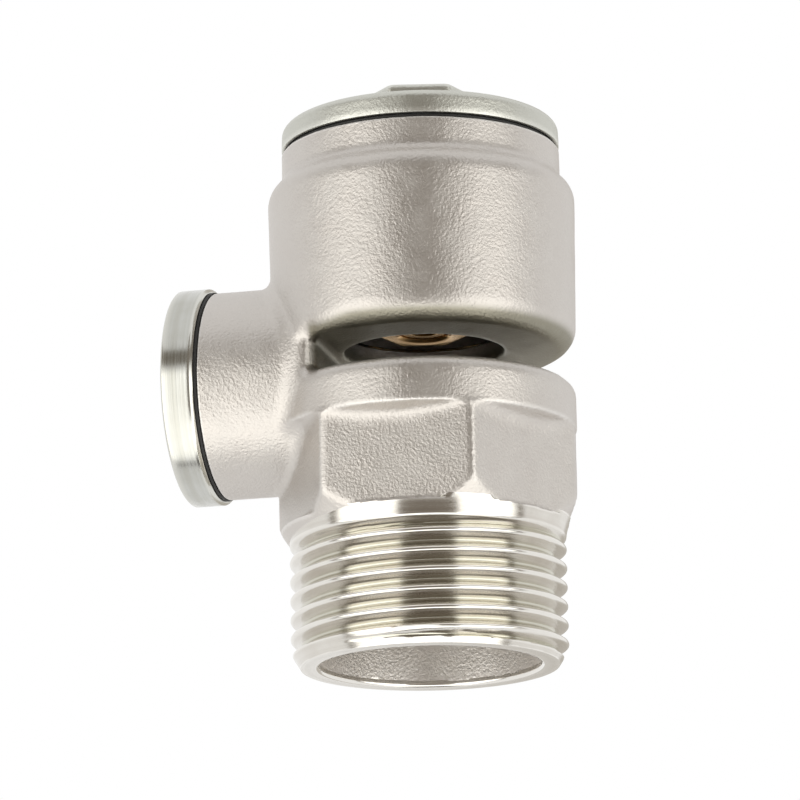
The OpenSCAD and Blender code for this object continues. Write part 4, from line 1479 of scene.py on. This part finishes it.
@dataclass
class StemGuide:
    """What holds and lifts the stem inside the chamber."""

    spider_r: float = 14.02
    spider_z: float = 52.95  # middle of its height
    ring_w: float = 2.3
    arm_w: float = 3.2
    circlip_in: float = 12.82
    circlip_out: float = 14.82
    spring_r: float = 4.7
    wire_r: float = 0.3
    turns: float = 4.5
    spring_low: float = 55.85
    spring_high: float = 62.35

    def spider_shape(self, x: Array, y: Array, z: Array) -> Array:
        """The spider as a field: a ring, three arms and a hub joined with fillets, less the
        bush's bore.

        Args:
            x: Places along X.
            y: Places along Y.
            z: Heights.

        Returns:
            The field, negative in the metal.
        """
        rho = np.hypot(x, y)
        level = np.abs(z - self.spider_z) - 1.0
        ring = round_common(np.maximum(rho - self.spider_r, self.spider_r - self.ring_w - rho),
                            level, 0.25)
        third = TURN / 3
        angle = (np.arctan2(y, x) - math.radians(30) + third / 2) % third - third / 2
        arm = round_common(np.abs(rho * np.sin(angle)) - self.arm_w / 2, level, 0.3)
        arm = np.maximum(arm, np.maximum(rho - self.spider_r + 1, -rho * np.cos(angle)))
        hub = round_common(rho - 6.3, np.abs(z - self.spider_z) - 2.49, 0.3)
        metal = round_union(round_union(ring, arm, 0.8), hub, 0.8)
        return np.maximum(metal, 4.56 - rho)

    def spider(self) -> Surface:
        """The cast spider. Its arms run into the ring and the hub with fillets, which no
        single profile carried along a path gives, so it is meshed from a field."""
        return contour(self.spider_shape, (graded(-14.4, 14.4, 0.38), graded(-14.37, 14.4, 0.38),
                                           graded(50.13, 56.0, 0.38)))

    def ring_shape(self, x: Array, y: Array, z: Array) -> Array:
        """The retaining ring as a field: a split ring with two lugs and their plier holes.

        Args:
            x: Places along X.
            y: Places along Y.
            z: Heights.

        Returns:
            The field, negative in the metal.
        """
        rho = np.hypot(x, y)
        ring = np.maximum(rho - self.circlip_out, self.circlip_in - rho)
        spread = math.radians(16)
        lug_x = self.circlip_in * math.sin(spread)
        lug_y = self.circlip_in * math.cos(spread)
        off = np.hypot(np.abs(x) - lug_x, y - lug_y)
        metal = round_union(ring, off - 1.6, 0.5)
        split = np.maximum(np.abs(x) - np.maximum(y, 0) * math.tan(spread / 2), -y)
        metal = np.maximum(np.maximum(metal, -split), 0.6 - off)
        return round_common(metal, np.abs(z - 54.45) - 0.49, 0.08)

    def retaining_ring(self) -> Surface:
        """The circlip. Lugs and holes interrupt its profile, so it is meshed from a field."""
        return contour(self.ring_shape, (graded(-15.15, 15.2, 0.25), graded(-15.17, 15.2, 0.25),
                                         graded(53.82, 55.1, 0.16)))

    def spring(self) -> Surface:
        """The spring: a circle of the wire's radius carried along a helix whose first and
        last turns lie closed and whose middle is evenly pitched.

        Returns:
            The spring's surface.
        """
        t = np.linspace(0, self.turns, int(44 * self.turns) + 1)
        wire = 2 * self.wire_r
        live = self.turns - 2
        free = self.spring_high - self.spring_low - 3 * wire
        knots = np.array([0, 0.85, 1.15, 1 + live - 0.15, 1 + live + 0.15, self.turns])
        pitch = free / live
        levels = np.array([0, 0.85 * wire, wire + 0.15 * pitch, wire + (live - 0.15) * pitch,
                           wire + free + 0.15 * wire, free + 2 * wire])
        z = self.spring_low + self.wire_r + np.interp(t, knots, levels)
        path = ring_points(np.full_like(t, self.spring_r), z, TURN * t)
        side = np.stack([np.cos(TURN * t), np.sin(TURN * t), np.zeros_like(t)], axis=1)
        lift = np.broadcast_to([0.0, 0.0, 1.0], side.shape)
        a = np.arange(14) * TURN / 14
        outline = (self.wire_r - 0.01) * np.stack([np.cos(a), np.sin(a)], axis=1)
        return swept(path, side, lift, outline)

    def build(self, dresser: Dresser) -> list[bpy.types.Object]:
        """Makes the guide's pieces. The spring is made at rest, 6.5 mm long; as the valve
        shuts the real one flattens to 3.25 mm, its lower end staying on the shim.

        Args:
            dresser: Makes and dresses the objects.

        Returns:
            The guide's pieces.
        """
        bush = turned_piece([(3.05, 49.86, 0.15), (5.5, 49.86, 0.12), (5.5, 50.44, 0.08),
                             (4.54, 50.44, 0.05), (4.54, 55.44, 0.2), (3.05, 55.44, 0.25)], 120)
        shim = turned_piece([(3.05, 55.46, 0.04), (6.0, 55.46, 0.06), (6.0, 55.84, 0.1),
                             (3.05, 55.84, 0.06)], 120)
        steel = "spring_steel"
        spring = dresser.piece("lifting_spring_coil", self.spring(), "base", steel, SPRING_STEEL,
                               ["lifting_spring"])
        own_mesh(spring)
        return [
            dresser.piece("guide_spider_cast", self.spider(), "base", "brass", CAST_BRASS,
                          ["guide_spider"], 50),
            dresser.piece("guide_bush_moulded", bush, "base", "bush", ACETAL, ["guide_bush"]),
            dresser.piece("retaining_ring_stamped", self.retaining_ring(), "base", steel,
                          SPRING_STEEL, ["spider_retaining_ring"]),
            dresser.piece("spring_shim_stamped", shim, "base", "sheet_steel", SHEET_STEEL,
                          ["spring_shim"]),
            spring,
        ]


# -------------------------------------------------------------------- studio


@dataclass(frozen=True)
class Card:
    """A curved studio card: a patch of a sphere round the object that gives off light.

    Angles are in degrees: azimuth from the camera's side, positive to its right, and
    elevation above the horizon. Its edges fade over a share of its width and height.
    """

    name: str
    azimuth: tuple[float, float]
    elevation: tuple[float, float]
    colour: str
    strength: float
    fade: tuple[float, float] = (0.1, 0.1)
    radius: float = 1.2
    centre_z: float = 0.035  # height of the sphere's middle, in metres

    def build(self, camera_azimuth: float) -> bpy.types.Object:
        """Makes the card. Point (u, v) is at r (cos e cos a, cos e sin a, sin e), with the
        azimuth a and the elevation e linear in u and v; its cover is the product of
        smooth steps from the edges.

        Args:
            camera_azimuth: Direction of the camera from the object, in degrees about Z.

        Returns:
            The card.
        """
        u, v = np.linspace(0, 1, 49)[None, :], np.linspace(0, 1, 33)[:, None]
        a = np.radians(camera_azimuth + self.azimuth[0] + u * (self.azimuth[1] - self.azimuth[0]))
        e = np.radians(self.elevation[0] + v * (self.elevation[1] - self.elevation[0]))
        r = self.radius
        grid = np.stack(np.broadcast_arrays(r * np.cos(e) * np.cos(a), r * np.cos(e) * np.sin(a),
                                            r * np.sin(e) + self.centre_z), axis=-1)
        cover = (smooth_step(np.minimum(u, 1 - u) / max(self.fade[0], 1e-3))
                 * smooth_step(np.minimum(v, 1 - v) / max(self.fade[1], 1e-3)))
        flat = sheet(grid, close_rows=False)
        mesh = bpy.data.meshes.new(self.name)
        mesh.from_pydata(flat.points.tolist(), [], flat.quads.tolist())
        mesh.attributes.new("cover", "FLOAT", "POINT").data.foreach_set(
            "value", cover.ravel().astype(np.float32))
        material = new_material(self.name)
        tree = material.node_tree
        shown = add_node(tree, "ShaderNodeAttribute", {"attribute_name": "cover"})
        glow = add_node(tree, "ShaderNodeEmission", {},
                        {"Color": linear(self.colour), "Strength": self.strength})
        clear = add_node(tree, "ShaderNodeBsdfTransparent")
        mixed = add_node(tree, "ShaderNodeMixShader", {},
                         {0: shown.outputs["Fac"], 1: clear.outputs[0], 2: glow.outputs[0]})
        add_node(tree, "ShaderNodeOutputMaterial", {}, {"Surface": mixed.outputs[0]})
        mesh.materials.append(material)
        card = bpy.data.objects.new(self.name, mesh)
        bpy.context.scene.collection.objects.link(card)
        card.visible_camera = False
        card.visible_shadow = False
        return card


@dataclass
class Studio:
    """White backdrop, pale floor, soft boxes beside and below the camera, and dim cards: one
    where the camera stands, and flags above, below, beside and behind the object."""

    camera_place: tuple[float, float, float] = (127.45, -570.04, -110.68)
    pan_deg: float = 12.901
    pitch_deg: float = 13.808
    roll_deg: float = -1.073
    focal: float = 4975.35  # focal length over one 800th of the frame's width
    camera_azimuth: float = -77.4
    cards: Sequence[Card] = field(default_factory=lambda: (
        Card("dark_gap", (-24.5, 25.0), (-34, 60), "#857D74", 1.0, (0.03, 0.1)),
        Card("left_box", (-78, -24.5), (-74, 19), "#FFFEFA", 2.0, (0.04, 0.06)),
        Card("right_box", (25, 76), (-74, 19), "#FFFEFA", 2.0, (0.04, 0.06)),
        Card("low_box", (-24.5, 25), (-71, -35), "#FFFEFA", 2.0, (0.04, 0.06)),
        Card("left_flag", (-88, -79), (-60, 50), "#857E74", 1.0, (0.3, 0.1)),
        Card("right_flag", (77, 86), (-60, 50), "#857E74", 1.0, (0.3, 0.1)),
        Card("high_flag", (-95, 95), (19, 41), "#857E74", 1.0, (0.05, 0.25)),
        Card("low_flag", (-100, 100), (-89.5, -72), "#4A453E", 1.0, (0.03, 0.12)),
        Card("back_flag", (150, 185), (-50, 50), "#C4BFB7", 1.0, (0.3, 0.1)),
    ))

    def camera(self) -> bpy.types.Object:
        """The camera, looking up at the object from below its foot through a long lens.

        Returns:
            The camera.
        """
        pan, pitch, roll = (math.radians(d) for d in (self.pan_deg, self.pitch_deg, self.roll_deg))
        ahead = Vector((-math.sin(pan) * math.cos(pitch), math.cos(pan) * math.cos(pitch),
                        math.sin(pitch)))
        level = Vector((math.cos(pan), math.sin(pan), 0))
        upright = level.cross(ahead)
        right = math.cos(roll) * level + math.sin(roll) * upright
        top = -math.sin(roll) * level + math.cos(roll) * upright
        data = bpy.data.cameras.new("camera")
        data.sensor_width = 36
        data.lens = self.focal * data.sensor_width / 800
        data.clip_start, data.clip_end = 0.02, 20
        camera = bpy.data.objects.new("camera", data)
        matrix = Matrix((right, top, -ahead)).transposed().to_4x4()
        matrix.translation = Vector(self.camera_place) * MM
        camera.matrix_world = matrix
        bpy.context.scene.collection.objects.link(camera)
        bpy.context.scene.camera = camera
        return camera

    def world(self) -> None:
        """A world that is white to the camera and in metal and glass, and a plain soft
        light for everything else."""
        world = bpy.data.worlds.new("studio")
        bpy.context.scene.world = world
        world.use_nodes = True
        tree = world.node_tree
        tree.nodes.clear()
        path = add_node(tree, "ShaderNodeLightPath")
        seen = add_node(tree, "ShaderNodeMath", {"operation": "ADD"},
                        {0: path.outputs["Is Camera Ray"], 1: path.outputs["Is Glossy Ray"]})
        seen = add_node(tree, "ShaderNodeMath", {"operation": "ADD", "use_clamp": True},
                        {0: seen.outputs[0], 1: path.outputs["Is Transmission Ray"]})
        plain = add_node(tree, "ShaderNodeBackground", {},
                         {"Color": linear("#F5F5F3"), "Strength": 0.8})
        white = add_node(tree, "ShaderNodeBackground", {},
                         {"Color": linear("#FFFFFF"), "Strength": 1.0})
        mixed = add_node(tree, "ShaderNodeMixShader", {},
                         {0: seen.outputs[0], 1: plain.outputs[0], 2: white.outputs[0]})
        add_node(tree, "ShaderNodeOutputWorld", {}, {"Surface": mixed.outputs[0]})

    def floor(self) -> bpy.types.Object:
        """A pale floor under the inlet's end face. The camera stands below it, so it shows
        only from above, lets light through from below, and fades out to the backdrop.

        Returns:
            The floor.
        """
        size = 0.8
        mesh = bpy.data.meshes.new("floor")
        corners = [(-size, -size, 0), (size, -size, 0), (size, size, 0), (-size, size, 0)]
        mesh.from_pydata([(x, y, -0.0003) for x, y, _ in corners], [], [(0, 1, 2, 3)])
        material = new_material("pale_floor")
        tree = material.node_tree
        spot = add_node(tree, "ShaderNodeTexCoord").outputs["Object"]
        away = add_node(tree, "ShaderNodeVectorMath", {"operation": "LENGTH"},
                        {0: spot}).outputs["Value"]
        near = add_node(tree, "ShaderNodeMapRange", {"interpolation_type": "SMOOTHSTEP"},
                        {0: away, 1: 0.12, 2: 0.5, 3: 1.0, 4: 0.0}).outputs[0]
        path = add_node(tree, "ShaderNodeLightPath")
        below = add_node(tree, "ShaderNodeNewGeometry").outputs["Backfacing"]
        above = add_node(tree, "ShaderNodeMath", {"operation": "SUBTRACT"}, {0: 1.0, 1: below})
        seen = add_node(tree, "ShaderNodeMath", {"operation": "MULTIPLY"},
                        {0: path.outputs["Is Camera Ray"], 1: above.outputs[0]})
        seen = add_node(tree, "ShaderNodeMath", {"operation": "MULTIPLY"},
                        {0: seen.outputs[0], 1: near})
        paint = add_node(tree, "ShaderNodeBsdfDiffuse", {}, {"Color": linear("#F7F6F4")})
        clear = add_node(tree, "ShaderNodeBsdfTransparent")
        mixed = add_node(tree, "ShaderNodeMixShader", {},
                         {0: seen.outputs[0], 1: clear.outputs[0], 2: paint.outputs[0]})
        add_node(tree, "ShaderNodeOutputMaterial", {}, {"Surface": mixed.outputs[0]})
        mesh.materials.append(material)
        floor = bpy.data.objects.new("floor", mesh)
        bpy.context.scene.collection.objects.link(floor)
        return floor

    def build(self) -> None:
        """Sets up the camera, the world, the floor and the cards."""
        self.camera()
        self.world()
        self.floor()
        for card in self.cards:
            card.build(self.camera_azimuth)


def main() -> None:
    """Builds the studio and every sub-assembly."""
    logging.basicConfig(level=logging.INFO, format="%(message)s")
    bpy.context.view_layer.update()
    bpy.context.scene.view_settings.view_transform = "Standard"
    Studio().build()
    dresser = Dresser()
    for assembly in (Casting(), ScrewCap(), PortPlug(), ValveGroup(), StemGuide()):
        for piece in assembly.build(dresser):
            LOG.info("%s: %d faces", piece.name, len(piece.data.polygons))


if __name__ == "__main__":
    main()
